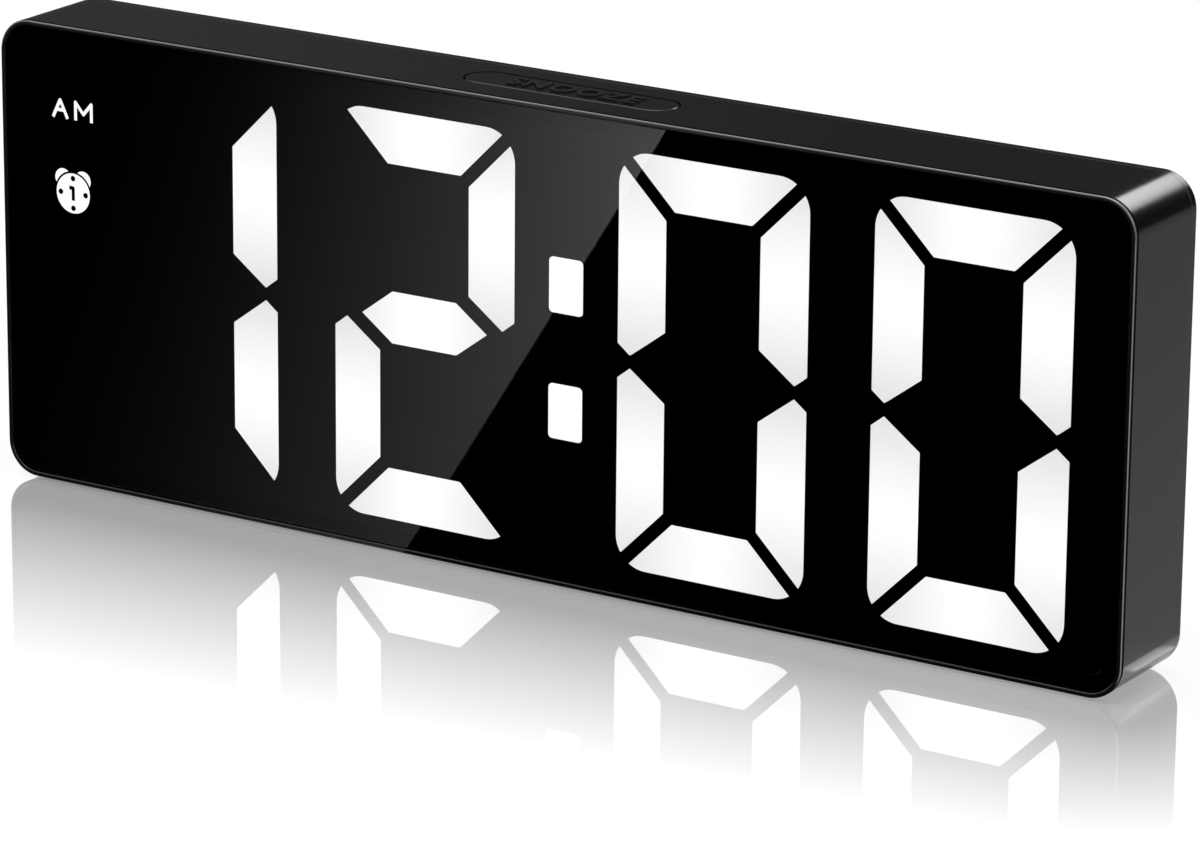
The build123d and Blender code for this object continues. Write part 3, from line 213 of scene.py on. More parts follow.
class GroupShelf:
    """Shader groups that several finishes share, each built once."""

    noise_middle = 0.5
    fine_detail = 2.0
    broad_detail = 3.0
    broad_share = 0.02
    fall_power = 1.2
    film_detail = 4.0
    streak_detail = 2.0
    streak_rate = 9.0

    def fresh(
        self, name: str, inputs: dict[str, str], outputs: dict[str, str],
    ) -> tuple[Graph, bpy.types.bpy_prop_collection, bpy.types.Node]:
        """Makes an empty group with its sockets.

        Args:
            name: Name of the group.
            inputs: Input names, each with its socket type.
            outputs: Output names, each with its socket type.

        Returns:
            The graph, the sockets that come in by name, and the node that takes the results.
        """
        tree = bpy.data.node_groups.new(name, "ShaderNodeTree")
        for way, sockets in (("INPUT", inputs), ("OUTPUT", outputs)):
            for label, kind in sockets.items():
                tree.interface.new_socket(label, in_out=way, socket_type=f"NodeSocket{kind}")
        graph = Graph(tree)
        return graph, graph.add("NodeGroupInput").outputs, graph.add("NodeGroupOutput")

    @cached_property
    def moulded_grain(self) -> bpy.types.NodeTree:
        """Fine grain of a moulded or cut surface, with slow changes of shade and gloss.

        Returns:
            The group.
        """
        graph, given, made = self.fresh(
            "moulded grain",
            {"Colour": "Color", "Shade Spread": "Float", "Roughness": "Float",
             "Gloss Spread": "Float", "Grain": "Float", "Stretch": "Vector"},
            {"Colour": "Color", "Roughness": "Float", "Height": "Float"},
        )
        along = graph.vector("MULTIPLY", graph.at_rest("Object"), given["Stretch"])
        fine = graph.noise(along, given["Grain"], self.fine_detail)
        coarse = graph.math("MULTIPLY", given["Grain"], self.broad_share)
        broad = graph.noise(along, coarse, self.broad_detail)
        swing = graph.math("SUBTRACT", broad, self.noise_middle)
        speck = graph.math("SUBTRACT", fine, self.noise_middle)
        shade = graph.math("MULTIPLY", graph.math("ADD", swing, speck), given["Shade Spread"])
        gloss = graph.math("MULTIPLY", swing, given["Gloss Spread"])
        graph.feed(made, {
            "Colour": graph.scaled(given["Colour"], graph.math("ADD", shade, 1.0)),
            "Roughness": graph.math("ADD", given["Roughness"], gloss),
            "Height": fine,
        })
        return graph.tree

    @cached_property
    def segment_glow(self) -> bpy.types.NodeTree:
        """Light of one digit's segments, a little weaker towards the ends of each.

        Returns:
            The group.
        """
        graph, given, made = self.fresh(
            "segment glow",
            {"Colour": "Color", "Centre": "Vector", "Half Size": "Vector",
             "Stroke": "Float", "Falloff": "Float"},
            {"Colour": "Color"},
        )
        from_centre = graph.vector("SUBTRACT", graph.at_rest("Object"), given["Centre"])
        away = graph.split(graph.vector("ABSOLUTE", from_centre))
        half = graph.split(given["Half Size"])
        from_side = graph.math("SUBTRACT", half["X"], away["X"])
        from_end = graph.math("SUBTRACT", half["Z"], away["Z"])
        half_stroke = graph.math("MULTIPLY", given["Stroke"], 0.5)
        from_bar = graph.math("MINIMUM", from_end, graph.math("ADD", away["Z"], half_stroke))
        nearest = graph.math("MINIMUM", from_bar, given["Stroke"])
        standing = graph.math("LESS_THAN", from_side, nearest)
        quarter = graph.math("MULTIPLY", half["Z"], 0.5)
        rise = graph.math("ABSOLUTE", graph.math("SUBTRACT", away["Z"], quarter))
        up_share = graph.math("DIVIDE", rise, quarter)
        across_share = graph.math("DIVIDE", away["X"], half["X"])
        change = graph.math("SUBTRACT", up_share, across_share)
        share = graph.math("ADD", across_share, graph.math("MULTIPLY", standing, change))
        fall = graph.math("POWER", share, self.fall_power)
        left = graph.math("SUBTRACT", 1.0, graph.math("MULTIPLY", fall, given["Falloff"]))
        graph.feed(made, {"Colour": graph.scaled(given["Colour"], left)})
        return graph.tree

    @cached_property
    def handling_haze(self) -> bpy.types.NodeTree:
        """Faint uneven film that fingers leave on a smooth face, as roughness.

        Returns:
            The group.
        """
        graph, given, made = self.fresh(
            "handling haze",
            {"Roughness": "Float", "Haze": "Float", "Patch": "Float"},
            {"Roughness": "Float"},
        )
        place = graph.at_rest("Object")
        patch = graph.noise(place, given["Patch"], self.film_detail)
        closer = graph.math("MULTIPLY", given["Patch"], self.streak_rate)
        streak = graph.noise(place, closer, self.streak_detail)
        film = graph.math("MULTIPLY", graph.math("MULTIPLY", patch, streak), given["Haze"])
        graph.feed(made, {"Roughness": graph.math("ADD", given["Roughness"], film)})
        return graph.tree


SHELF = GroupShelf()


def blank_material(name: str) -> tuple[bpy.types.Material, Graph, bpy.types.Node]:
    """Makes a material with one Principled shader.

    Args:
        name: Name of the material.

    Returns:
        The material, its graph and its shader node.
    """
    material = bpy.data.materials.new(name)
    material.use_nodes = True
    graph = Graph(material.node_tree)
    return material, graph, graph.find("BSDF_PRINCIPLED")


@dataclass(frozen=True)
class Grained:
    """Moulded, plated or printed surface with a fine grain."""

    slot: Slot
    colour: Colour
    roughness: float
    metallic: float = 0.0
    specular: float = 0.5
    grain: float = 2500.0
    stretch: Colour = EVEN
    shade_spread: float = 0.25
    gloss_spread: float = 0.12
    relief: float = 0.05
    relief_depth: float = 0.00003
    rear_least: float = 0.95
    rear_roughness: float = 0.0
    rear_relief: float = 0.0
    # Depth band where reflection is cut to paint a dark line, and extra specular that paints a
    # highlight on the rounded front edge.
    painted_dark_band: Point = (0.0, 0.0)
    painted_highlight_specular: float = 0.0
    edge_middle: float = 0.0355
    edge_least: float = 0.015
    edge_lowest: float = -0.3

    def rim_painted_specular(self, graph: Graph) -> Socket:
        """Mirror strength, raised on the rounded front edge as a painted highlight and cut to nought
        in a thin band behind it as a painted dark line.

        Args:
            graph: Graph of the material.

        Returns:
            The strength.
        """
        place, facing = graph.at_rest("Object"), graph.at_rest("Normal")
        depth = graph.split(place)["Y"]
        behind = graph.math("GREATER_THAN", depth, self.painted_dark_band[0])
        ahead = graph.math("LESS_THAN", depth, self.painted_dark_band[1])
        clear = graph.math("SUBTRACT", 1.0, graph.math("MULTIPLY", behind, ahead))
        from_middle = graph.vector("SUBTRACT", place, Vector((0.0, 0.0, self.edge_middle)))
        turned = graph.math("GREATER_THAN", graph.dot(from_middle, facing), self.edge_least)
        above = graph.math("GREATER_THAN", graph.split(facing)["Z"], self.edge_lowest)
        front = graph.math("SUBTRACT", 1.0, behind)
        edge = graph.math("MULTIPLY", graph.math("MULTIPLY", turned, above), front)
        rise = graph.math("MULTIPLY", edge, self.painted_highlight_specular)
        return graph.math("ADD", graph.math("MULTIPLY", clear, self.specular), rise)

    def material(self) -> bpy.types.Material:
        """Builds the finish, with the rear grain, and with the rim's painted highlight and painted
        dark line where it has them.

        Returns:
            The material.
        """
        material, graph, shader = blank_material(self.slot.value)
        grain = graph.group(SHELF.moulded_grain, {
            "Colour": self.colour, "Shade Spread": self.shade_spread, "Roughness": self.roughness,
            "Gloss Spread": self.gloss_spread, "Grain": self.grain, "Stretch": Vector(self.stretch),
        })
        rough, height = grain["Roughness"], grain["Height"]
        if self.rear_roughness:
            facing = graph.split(graph.at_rest("Normal"))
            rear = graph.math("GREATER_THAN", facing["Y"], self.rear_least)
            rough = graph.math("ADD", rough, graph.math("MULTIPLY", rear, self.rear_roughness))
            swell = graph.math("ADD", graph.math("MULTIPLY", rear, self.rear_relief), 1.0)
            height = graph.math("MULTIPLY", height, swell)
        bump = graph.feed(graph.add("ShaderNodeBump"), {
            "Strength": self.relief, "Distance": self.relief_depth, "Height": height,
        })
        graph.feed(shader, {
            "Base Color": grain["Colour"], "Roughness": rough, "Metallic": self.metallic,
            "Specular IOR Level": self.specular, "Normal": bump.outputs[0],
        })
        # Painted highlight on the rounded front edge and painted dark line behind it, both made by
        # changing specular strength.
        if any(self.painted_dark_band):
            graph.feed(shader, {"Specular IOR Level": self.rim_painted_specular(graph)})
        return material


@dataclass(frozen=True)
class Smoked:
    """Clear dark panel with a polished face and a back that mirrors nothing."""

    slot: Slot = Slot.LENS
    tint: Colour = (0.86, 0.86, 0.87)
    ior: float = 1.49
    roughness: float = 0.0
    haze: float = 0.003
    patch: float = 30.0

    def material(self) -> bpy.types.Material:
        """Builds the finish.

        Returns:
            The material.
        """
        material, graph, shader = blank_material(self.slot.value)
        haze = graph.group(SHELF.handling_haze, {
            "Roughness": self.roughness, "Haze": self.haze, "Patch": self.patch,
        })
        graph.feed(shader, {
            "Base Color": self.tint, "Roughness": haze["Roughness"], "IOR": self.ior,
            "Transmission Weight": 1.0,
            "Specular Tint": graph.math("SUBTRACT", 1.0, graph.geometry("Backfacing")),
        })
        return material


@dataclass(frozen=True)
class Glow:
    """Milky light bar that glows."""

    name: str
    centre: Vector
    half_size: Vector
    stroke: float
    falloff: float
    strength: float = 1.2
    colour: Colour = WHITE
    body_colour: Colour = (0.12, 0.12, 0.12)
    roughness: float = 0.5

    def material(self) -> bpy.types.Material:
        """Builds the finish.

        Returns:
            The material.
        """
        material, graph, shader = blank_material(self.name)
        glow = graph.group(SHELF.segment_glow, {
            "Colour": self.colour, "Centre": self.centre, "Half Size": self.half_size,
            "Stroke": self.stroke, "Falloff": self.falloff,
        })
        graph.feed(shader, {
            "Base Color": self.body_colour, "Roughness": self.roughness,
            "Emission Color": glow["Colour"], "Emission Strength": self.strength,
        })
        return material


@dataclass(frozen=True)
class Cell:
    """Two-colour sleeve of a battery cell, with a bright ring at its plus end."""

    middle_cell: float
    slot: Slot = Slot.WRAP
    body_colour: Colour = (0.02, 0.05, 0.14)
    ring_colour: Colour = (0.55, 0.42, 0.16)
    ring_start: float = 0.010
    half_pitch: float = 0.0055
    roughness: float = 0.3
    haze: float = 0.2
    patch: float = 60.0
    coat: float = 0.4

    def material(self) -> bpy.types.Material:
        """Builds the finish, with the ring at the other end on the middle cell.

        Returns:
            The material.
        """
        material, graph, shader = blank_material(self.slot.value)
        place = graph.split(graph.at_rest("Object"))
        away = graph.math("ABSOLUTE", graph.math("SUBTRACT", place["Z"], self.middle_cell))
        outer = graph.math("GREATER_THAN", away, self.half_pitch)
        side = graph.math("SUBTRACT", graph.math("MULTIPLY", outer, 2.0), 1.0)
        along = graph.math("MULTIPLY", place["X"], side)
        ring = graph.math("GREATER_THAN", along, self.ring_start)
        haze = graph.group(SHELF.handling_haze, {
            "Roughness": self.roughness, "Haze": self.haze, "Patch": self.patch,
        })
        graph.feed(shader, {
            "Base Color": graph.blended(ring, self.body_colour, self.ring_colour),
            "Metallic": 0.0, "Roughness": haze["Roughness"], "Coat Weight": self.coat,
        })
        return material


@dataclass(frozen=True)
class Traced:
    """Circuit board lacquer with copper tracks under it."""

    slot: Slot = Slot.BOARD
    lacquer: Colour = (0.012, 0.075, 0.03)
    track: Colour = (0.03, 0.16, 0.06)
    pitch: float = 420.0
    track_width: float = 0.06
    track_run: float = 2.6
    track_step: float = 0.5
    stagger: float = 0.5
    roughness: float = 0.35
    shade_spread: float = 0.2
    gloss_spread: float = 0.1
    grain: float = 3000.0

    def material(self) -> bpy.types.Material:
        """Builds the finish.

        Returns:
            The material.
        """
        material, graph, shader = blank_material(self.slot.value)
        turned = graph.feed(graph.add("ShaderNodeMapping"), {
            "Vector": graph.at_rest("Object"), "Rotation": Vector((math.pi / 2, 0.0, 0.0)),
        })
        tracks = graph.feed(graph.add("ShaderNodeTexBrick", offset=self.stagger), {
            "Vector": turned.outputs[0], "Scale": self.pitch,
            "Color1": self.lacquer, "Color2": self.lacquer, "Mortar": self.track,
            "Mortar Size": self.track_width, "Brick Width": self.track_run,
            "Row Height": self.track_step,
        })
        grain = graph.group(SHELF.moulded_grain, {
            "Colour": tracks.outputs["Color"], "Shade Spread": self.shade_spread,
            "Roughness": self.roughness, "Gloss Spread": self.gloss_spread,
            "Grain": self.grain, "Stretch": Vector(EVEN),
        })
        graph.feed(shader, {"Base Color": grain["Colour"], "Roughness": grain["Roughness"]})
        return material


def set_finish(node: bpy.types.Object, material: bpy.types.Material) -> None:
    """Gives a CAD node or an added piece its one material."""
    node.data.materials.clear()
    node.data.materials.append(material)


@dataclass
class SubAssembly:
    """A group of the clock's pieces that is dressed together; lengths in metres."""

    frame: dict

    def dress(self, material: bpy.types.Material, *names: str) -> None:
        """Gives several CAD nodes one material.

        Args:
            material: The material to give.
            *names: Names of the CAD nodes.
        """
        for name in names:
            set_finish(self.frame["nodes"][name], material)
            LOG.info("%s dressed in %s", name, material.name)

    def add_piece(
        self, piece: bpy.types.Object, body: str, slot: Slot, material: bpy.types.Material,
    ) -> None:
        """Fits an added piece to the body that it moves with.

        Args:
            piece: The new piece, already in place.
            body: Name of the CAD body that carries it.
            slot: Material slot of its finish; not used.
            material: Its material.
        """
        set_finish(piece, material)
        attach(piece, body)
        LOG.info("%s added to %s", piece.name, body)


def as_piece(name: str, data: bpy.types.Curve, placing: Matrix) -> bpy.types.Object:
    """Turns curve or text data into a mesh piece of the scene.

    Args:
        name: Name of the piece.
        data: The curve or text to turn into a mesh.
        placing: Where the piece goes.

    Returns:
        The mesh piece.
    """
    source = bpy.data.objects.new(f"{name}_outline", data)
    bpy.context.scene.collection.objects.link(source)
    ready = source.evaluated_get(bpy.context.evaluated_depsgraph_get())
    mesh = bpy.data.meshes.new_from_object(ready)
    bpy.data.objects.remove(source)
    mesh.name = name
    mesh.transform(placing)
    piece = bpy.data.objects.new(name, mesh)
    bpy.context.scene.collection.objects.link(piece)
    return piece


def circle(centre: Point, radius: float, steps: int = 32) -> list[Point]:
    """Points of a circle in a sign's own plane."""
    turns = [2 * math.pi * i / steps for i in range(steps)]
    return [(centre[0] + radius * math.cos(t), centre[1] + radius * math.sin(t)) for t in turns]


def bar(centre: Point, length: float, width: float, angle: float = 0.0) -> list[Point]:
    """Corners of a bar in a sign's own plane.

    Args:
        centre: Its middle.
        length: Its length.
        width: Its width.
        angle: Its turn against the clock, in radians.

    Returns:
        The four corners in order.
    """
    across, up = math.cos(angle), math.sin(angle)
    corners = [(-1, -1), (1, -1), (1, 1), (-1, 1)]
    halves = [(u * length / 2, v * width / 2) for u, v in corners]
    return [(centre[0] + u * across - v * up, centre[1] + u * up + v * across) for u, v in halves]


def quarter_turned(points: list[Point], quarters: int) -> list[Point]:
    """Turns points against the clock by quarter turns.

    Args:
        points: The points to turn.
        quarters: How many quarter turns.

    Returns:
        The turned points.
    """
    for _ in range(quarters):
        points = [(-y, x) for x, y in points]
    return points


def stamped(
    name: str, outlines: list[list[Point]], proud: float, placing: Matrix,
) -> bpy.types.Object:
    """Makes a thin raised sign from closed outlines.

    Args:
        name: Name of the piece.
        outlines: Closed outlines; one inside another is a hole.
        proud: How far the sign stands out of its face.
        placing: Where its own origin goes, on the face.

    Returns:
        The sign as a mesh piece.
    """
    data = bpy.data.curves.new(name, "CURVE")
    data.dimensions = "2D"
    data.fill_mode = "BOTH"
    data.extrude = proud
    for outline in outlines:
        spline = data.splines.new("POLY")
        spline.points.add(len(outline) - 1)
        for point, (x, y) in zip(spline.points, outline):
            point.co = (x, y, 0.0, 1.0)
        spline.use_cyclic_u = True
    return as_piece(name, data, placing)


def lettered(
    name: str, word: str, size: Point, proud: float, weight: float, placing: Matrix,
) -> bpy.types.Object:
    """Makes a thin raised word.

    Args:
        name: Name of the piece.
        word: The word.
        size: Width and height that the word fills.
        proud: How far it stands out of its face.
        weight: Extra thickness of the strokes, for letters one unit high.
        placing: Where its middle goes, on the face.

    Returns:
        The word as a mesh piece.
    """
    data = bpy.data.curves.new(name, "FONT")
    data.body = word
    data.size = 1.0
    data.offset = weight
    data.space_character = LETTER_SPREAD
    data.extrude = 1.0
    piece = as_piece(name, data, Matrix.Identity(4))
    places = [vertex.co for vertex in piece.data.vertices]
    low = Vector((min(p.x for p in places), min(p.y for p in places), 0.0))
    high = Vector((max(p.x for p in places), max(p.y for p in places), 0.0))
    span = high - low
    fit = Matrix.Diagonal((size[0] / span.x, size[1] / span.y, proud, 1.0))
    piece.data.transform(placing @ fit @ Matrix.Translation(-(low + high) / 2))
    return piece


class CaseShell(SubAssembly):
    """Housing, rear cover, its screws and the foot strips."""

    # The housing's rim gets a painted highlight and a painted dark line behind it, both made by
    # specular strength.
    housing = Grained(Slot.HOUSING, (0.004, 0.004, 0.0042), 0.22, relief=0.015, gloss_spread=0.04,
                      painted_dark_band=(-0.0087, -0.0082), painted_highlight_specular=1.0)
    cover = Grained(Slot.COVER, (0.004, 0.004, 0.0042), 0.22, relief=0.015, gloss_spread=0.04,
                    rear_roughness=0.24, rear_relief=30.0)
    screw = Grained(Slot.SCREW, (0.32, 0.32, 0.33), 0.32, metallic=1.0, grain=4000.0, relief=0.04)
    rubber = Grained(Slot.RUBBER, (0.018, 0.018, 0.018), 0.8, relief=0.3, grain=1500.0, specular=0.3)

    def build(self) -> None:
        """Dresses the shell."""
        self.dress(self.housing.material(), "front_housing")
        self.dress(self.cover.material(), "rear_cover")
        self.dress(self.screw.material(), "cover_screws", "board_screws", "key_board_screws")
        self.dress(self.rubber.material(), "foot_strips")


@dataclass
class DisplayFront(SubAssembly):
    """Lens, reflector and light bars."""

    digits: int = 4
    stroke: float = 0.0078
    falloff: float = 0.29
    marker_falloff: float = 0.05

    lens = Smoked()
    tape = Grained(Slot.TAPE, (0.0005, 0.0005, 0.0005), 0.7, specular=0.0)
    reflector = Grained(Slot.REFLECTOR, (0.0005, 0.0005, 0.0005), 0.7, specular=0.0)
    dark = Grained(Slot.DARK, (0.0005, 0.0005, 0.0005), 0.7, specular=0.0)
    led = Grained(Slot.LED, (0.75, 0.7, 0.45), 0.3)

    def light(self, node: str, falloff: float) -> None:
        """Makes one node glow, set out from the middle of its digit.

        Args:
            node: Name of the lit CAD node.
            falloff: Share of the light lost at the ends of a segment.
        """
        low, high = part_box(node)
        digit = node.replace("_lit", "_dark")
        if digit in self.frame["nodes"]:
            other_low, other_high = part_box(digit)
            low = Vector(map(min, low, other_low))
            high = Vector(map(max, high, other_high))
        name = f"{Slot.LIT.value}_{node}"
        glow = Glow(name, (low + high) / 2, (high - low) / 2, self.stroke, falloff)
        self.dress(glow.material(), node)

    def build(self) -> None:
        """Dresses the display."""
        self.dress(self.lens.material(), "front_lens")
        self.dress(self.tape.material(), "lens_adhesive")
        self.dress(self.reflector.material(), "display_reflector", "marker_inlays")
        dark = self.dark.material()
        self.dress(self.led.material(), "segment_leds")
        for index in range(1, self.digits + 1):
            self.light(f"digit_{index}_lit", self.falloff)
            self.dress(dark, f"digit_{index}_dark")
        for name in ("colon_dots", "am_marker", "alarm_marker"):
            self.light(name, self.marker_falloff)
        self.dress(dark, "pm_marker")


@dataclass
class SnoozeBar(SubAssembly):
    """Snooze button with its word, and the switches."""

    word_length: float = 0.0215
    word_height: float = 0.0037
    word_shift: float = 0.0007
    word_proud: float = 0.00022
    word_weight: float = 0.02

    button = Grained(Slot.BUTTON, (0.004, 0.004, 0.0042), 0.22, relief=0.015, gloss_spread=0.04)
    dull = Grained(Slot.BUTTON, (0.006, 0.006, 0.006), 0.7, specular=0.12, relief=0.2)
    switch = Grained(Slot.SWITCH, (0.02, 0.02, 0.02), 0.5)

    def build(self) -> None:
        """Dresses the button and the switches and adds the raised word."""
        self.dress(self.button.material(), "snooze_button")
        self.dress(self.switch.material(), "snooze_switch", "key_switches", "alarm_switch")
        low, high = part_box("snooze_button")
        middle = (low + high) / 2
        top = Side.TOP.placed(Vector((middle.x + self.word_shift, middle.y, high.z)))
        size = (self.word_length, self.word_height)
        word = lettered("snooze_word", "SNOOZE", size, self.word_proud, self.word_weight, top)
        self.add_piece(word, "snooze", Slot.BUTTON, self.dull.material())


@dataclass
class RearPanel(SubAssembly):
    """Keys, alarm switch and power inlet at the back, with their signs.

    The sizes of the bell, its clapper and the hands are shares of half the sign; those of the
    ring and of the hands' width are shares of the stroke.
    """

    sign: float = 0.0026
    stroke: float = 0.00042
    proud: float = 0.00006
    ring_width: float = 0.8
    hand_width: float = 0.7
    minute_hand: float = 0.6
    hour_hand: float = 0.44
    bell_side: float = 0.62
    bell_shoulder: float = 0.25
    bell_waist: float = -0.45
    bell_foot: float = -0.75
    dome_steps: int = 12
    clapper: float = 0.16
    clapper_drop: float = -0.95
    clapper_steps: int = 16
    word_height: float = 0.0015
    word_gap: float = -0.0002
    word_weight: float = 0.01
    inlet_inset: float = 0.0002

    key = Grained(Slot.KEY, (0.03, 0.03, 0.031), 0.5, relief=0.1)
    white = Grained(Slot.WHITE, (0.72, 0.72, 0.7), 0.5, shade_spread=0.06)
    inlet = Grained(Slot.CAN, (0.55, 0.55, 0.56), 0.28, metallic=1.0, stretch=(0.2, 1.0, 1.0),
                    relief=0.03)
    keys = ("time", "alarm", "plus", "minus")
    words = {"on_word": ("ON", 1, 1.5), "off_word": ("OFF", -1, 2.2)}

    def bell(self, half: float) -> list[Point]:
        """Outline of the bell, about the middle of its sign.

        Args:
            half: Half the size of the sign.

        Returns:
            The points, from the right shoulder against the clock.
        """
        side, shoulder = self.bell_side * half, self.bell_shoulder * half
        waist, foot = self.bell_waist * half, self.bell_foot * half
        turns = (math.pi * i / self.dome_steps for i in range(self.dome_steps + 1))
        dome = [(side * math.cos(t), shoulder + side * math.sin(t)) for t in turns]
        return [*dome, (-side, waist), (-half, foot), (half, foot), (side, waist)]

    def signs(self) -> dict[str, list[list[Point]]]:
        """Draws the sign of each key, about the key's middle.

        Returns:
            The outlines of each sign, by the key's name.
        """
        half, stroke = self.sign / 2, self.stroke
        hand = self.hand_width * stroke
        minute, hour = self.minute_hand * half, self.hour_hand * half
        arm = [(stroke / 2, stroke / 2), (stroke / 2, half), (-stroke / 2, half)]
        clapper = circle((0.0, self.clapper_drop * half), self.clapper * half, self.clapper_steps)
        return {
            "time": [
                circle((0.0, 0.0), half),
                circle((0.0, 0.0), half - self.ring_width * stroke),
                bar((0.0, minute / 2), minute, hand, math.pi / 2),
                bar(((hour + hand) / 2, 0.0), hour, hand),
            ],
            "alarm": [self.bell(half), clapper],
            "plus": [[point for turn in range(4) for point in quarter_turned(arm, turn)]],
            "minus": [bar((0.0, 0.0), self.sign, stroke)],
        }

    def add_signs(self, white: bpy.types.Material) -> None:
        """Puts a sign on each key.

        Args:
            white: Finish of the signs.
        """
        for name, outlines in self.signs().items():
            low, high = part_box(f"{name}_key")
            face = Side.REAR.placed(Vector(((low.x + high.x) / 2, high.y, (low.z + high.z) / 2)))
            sign = stamped(f"{name}_sign", outlines, self.proud, face)
            self.add_piece(sign, f"key_{name}", Slot.WHITE, white)

    def add_switch_words(self, white: bpy.types.Material) -> None:
        """Puts ON and OFF beside the ends of the alarm switch's travel.

        Args:
            white: Finish of the words.
        """
        low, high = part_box("alarm_switch")
        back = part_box("power_inlet")[1].y + self.inlet_inset
        reach = (high.x - low.x) / 2 + self.word_gap
        middle = Vector(((low.x + high.x) / 2, back, (low.z + high.z) / 2))
        for name, (word, side, share) in self.words.items():
            size = (share * self.word_height, self.word_height)
            at = middle + Vector((side * (reach + size[0] / 2), 0.0, 0.0))
            place = Side.REAR.placed(at)
            piece = lettered(name, word, size, self.proud, self.word_weight, place)
            self.add_piece(piece, "case", Slot.WHITE, white)

    def build(self) -> None:
        """Dresses the panel and adds its signs."""
        white = self.white.material()
        key_nodes = [f"{name}_key" for name in self.keys]
        self.dress(self.key.material(), *key_nodes, "alarm_switch_knob")
        self.dress(white, *(f"{name}_plunger" for name in (*self.keys, "snooze")))
        self.dress(self.inlet.material(), "power_inlet", "timing_crystal")
        self.add_signs(white)
        self.add_switch_words(white)


@dataclass
class BatteryBay(SubAssembly):
    """Battery door with its arrow, cells and contacts."""

    arrow_width: float = 0.004
    arrow_height: float = 0.0024
    arrow_drop: float = 0.0105
    arrow_proud: float = 0.00015

    metal = Grained(Slot.CONTACT, (0.62, 0.6, 0.56), 0.3, metallic=1.0, stretch=(1.0, 1.0, 0.2),
                    relief=0.04)
    coil = Grained(Slot.SPRING, (0.6, 0.58, 0.55), 0.26, metallic=1.0, relief=0.04)
    lead = Grained(Slot.LEAD, (0.4, 0.02, 0.015), 0.45, shade_spread=0.1)

    def build(self) -> None:
        """Dresses the bay and adds the arrow to its door."""
        cover = self.frame["nodes"]["rear_cover"].data.materials[0]
        metal = self.metal.material()
        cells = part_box("battery_cells")
        self.dress(cover, "battery_door")
        self.dress(metal, "battery_contacts", "battery_cells")
        self.dress(self.coil.material(), "battery_springs")
        self.dress(Cell((cells[0].z + cells[1].z) / 2).material(), "battery_wraps")
        self.dress(self.lead.material(), "battery_leads")
        low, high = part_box("battery_door")
        at = Vector(((low.x + high.x) / 2, high.y, high.z - self.arrow_drop))
        half, rise = self.arrow_width / 2, self.arrow_height
        arrow = [(-half, rise), (half, rise), (0.0, 0.0)]
        piece = stamped("door_arrow", [arrow], self.arrow_proud, Side.REAR.placed(at))
        self.add_piece(piece, "door", Slot.COVER, cover)


class CircuitParts(SubAssembly):
    """Boards and the parts on them, inside the case."""

    board = Traced()
    chip = Grained(Slot.CHIP, (0.015, 0.015, 0.016), 0.55)
    capacitor = Grained(Slot.CAPACITOR, (0.02, 0.02, 0.05), 0.35)
    pin = Grained(Slot.PIN, (0.72, 0.5, 0.2), 0.3, metallic=1.0)

    def build(self) -> None:
        """Dresses the boards and their parts."""
        chip = self.chip.material()
        self.dress(self.board.material(), "main_board", "key_board")
        self.dress(chip, "controller_chip", "driver_chip", "buzzer", "link_header", "inlet_tongue")
        self.dress(self.capacitor.material(), "board_capacitors")
        self.dress(self.pin.material(), "link_pins")


def show_card(graph: Graph, strength: Value, hidden: Value) -> None:
    """Turns a blank material into a glowing card that is clear where it is hidden.

    Args:
        graph: The material's graph.
        strength: Strength of the glow.
        hidden: One where the card is clear, nought where it shows.
    """
    light, clear = graph.add("ShaderNodeEmission"), graph.add("ShaderNodeBsdfTransparent")
    graph.feed(light, {"Color": WHITE, "Strength": strength})
    mixed = graph.add("ShaderNodeMixShader")
    graph.feed(mixed, {0: hidden, 1: light.outputs[0], 2: clear.outputs[0]})
    graph.feed(graph.find("OUTPUT_MATERIAL"), {"Surface": mixed.outputs[0]})
    graph.tree.nodes.remove(graph.find("BSDF_PRINCIPLED"))


def seen_share(graph: Graph) -> Socket:
    """One for rays from the camera, mirrors and glass, and nought for other rays.

    Args:
        graph: Graph of the material or the world.

    Returns:
        The share.
    """
    path = graph.add("ShaderNodeLightPath").outputs
    mirrored = graph.math("MAXIMUM", path["Is Glossy Ray"], path["Is Transmission Ray"])
    return graph.math("MAXIMUM", path["Is Camera Ray"], mirrored)


@dataclass(frozen=True)
class Panel:
    """Glowing card round the clock that only the soft gloss of its case shows, in metres."""

    name: str
    corners: tuple[Colour, ...]
    run: Point
    glow: Point

    def material(self) -> bpy.types.Material:
        """Glow that changes from left to right, clear from behind and to sharp mirrors.

        Returns:
            The material.
        """
        material, graph, _ = blank_material(self.name)
        change = graph.feed(graph.add("ShaderNodeMapRange"), {
            "Value": graph.split(graph.geometry("Position"))["X"],
            "From Min": self.run[0], "From Max": self.run[1],
            "To Min": self.glow[0], "To Max": self.glow[1],
        })
        sharp = graph.add("ShaderNodeLightPath").outputs["Is Singular Ray"]
        hidden = graph.math("MAXIMUM", sharp, graph.geometry("Backfacing"))
        show_card(graph, change.outputs["Result"], hidden)
        return material


def upright(left: float, right: float, bottom: float, top: float, back: float) -> tuple[Colour, ...]:
    """Corners of an upright card that faces the front."""
    return ((left, back, bottom), (right, back, bottom), (right, back, top), (left, back, top))


def lying(rise: float, *corners: Point) -> tuple[Colour, ...]:
    """Corners of a level card; it faces up where they run against the clock, and else down."""
    return tuple((x, y, rise) for x, y in corners)


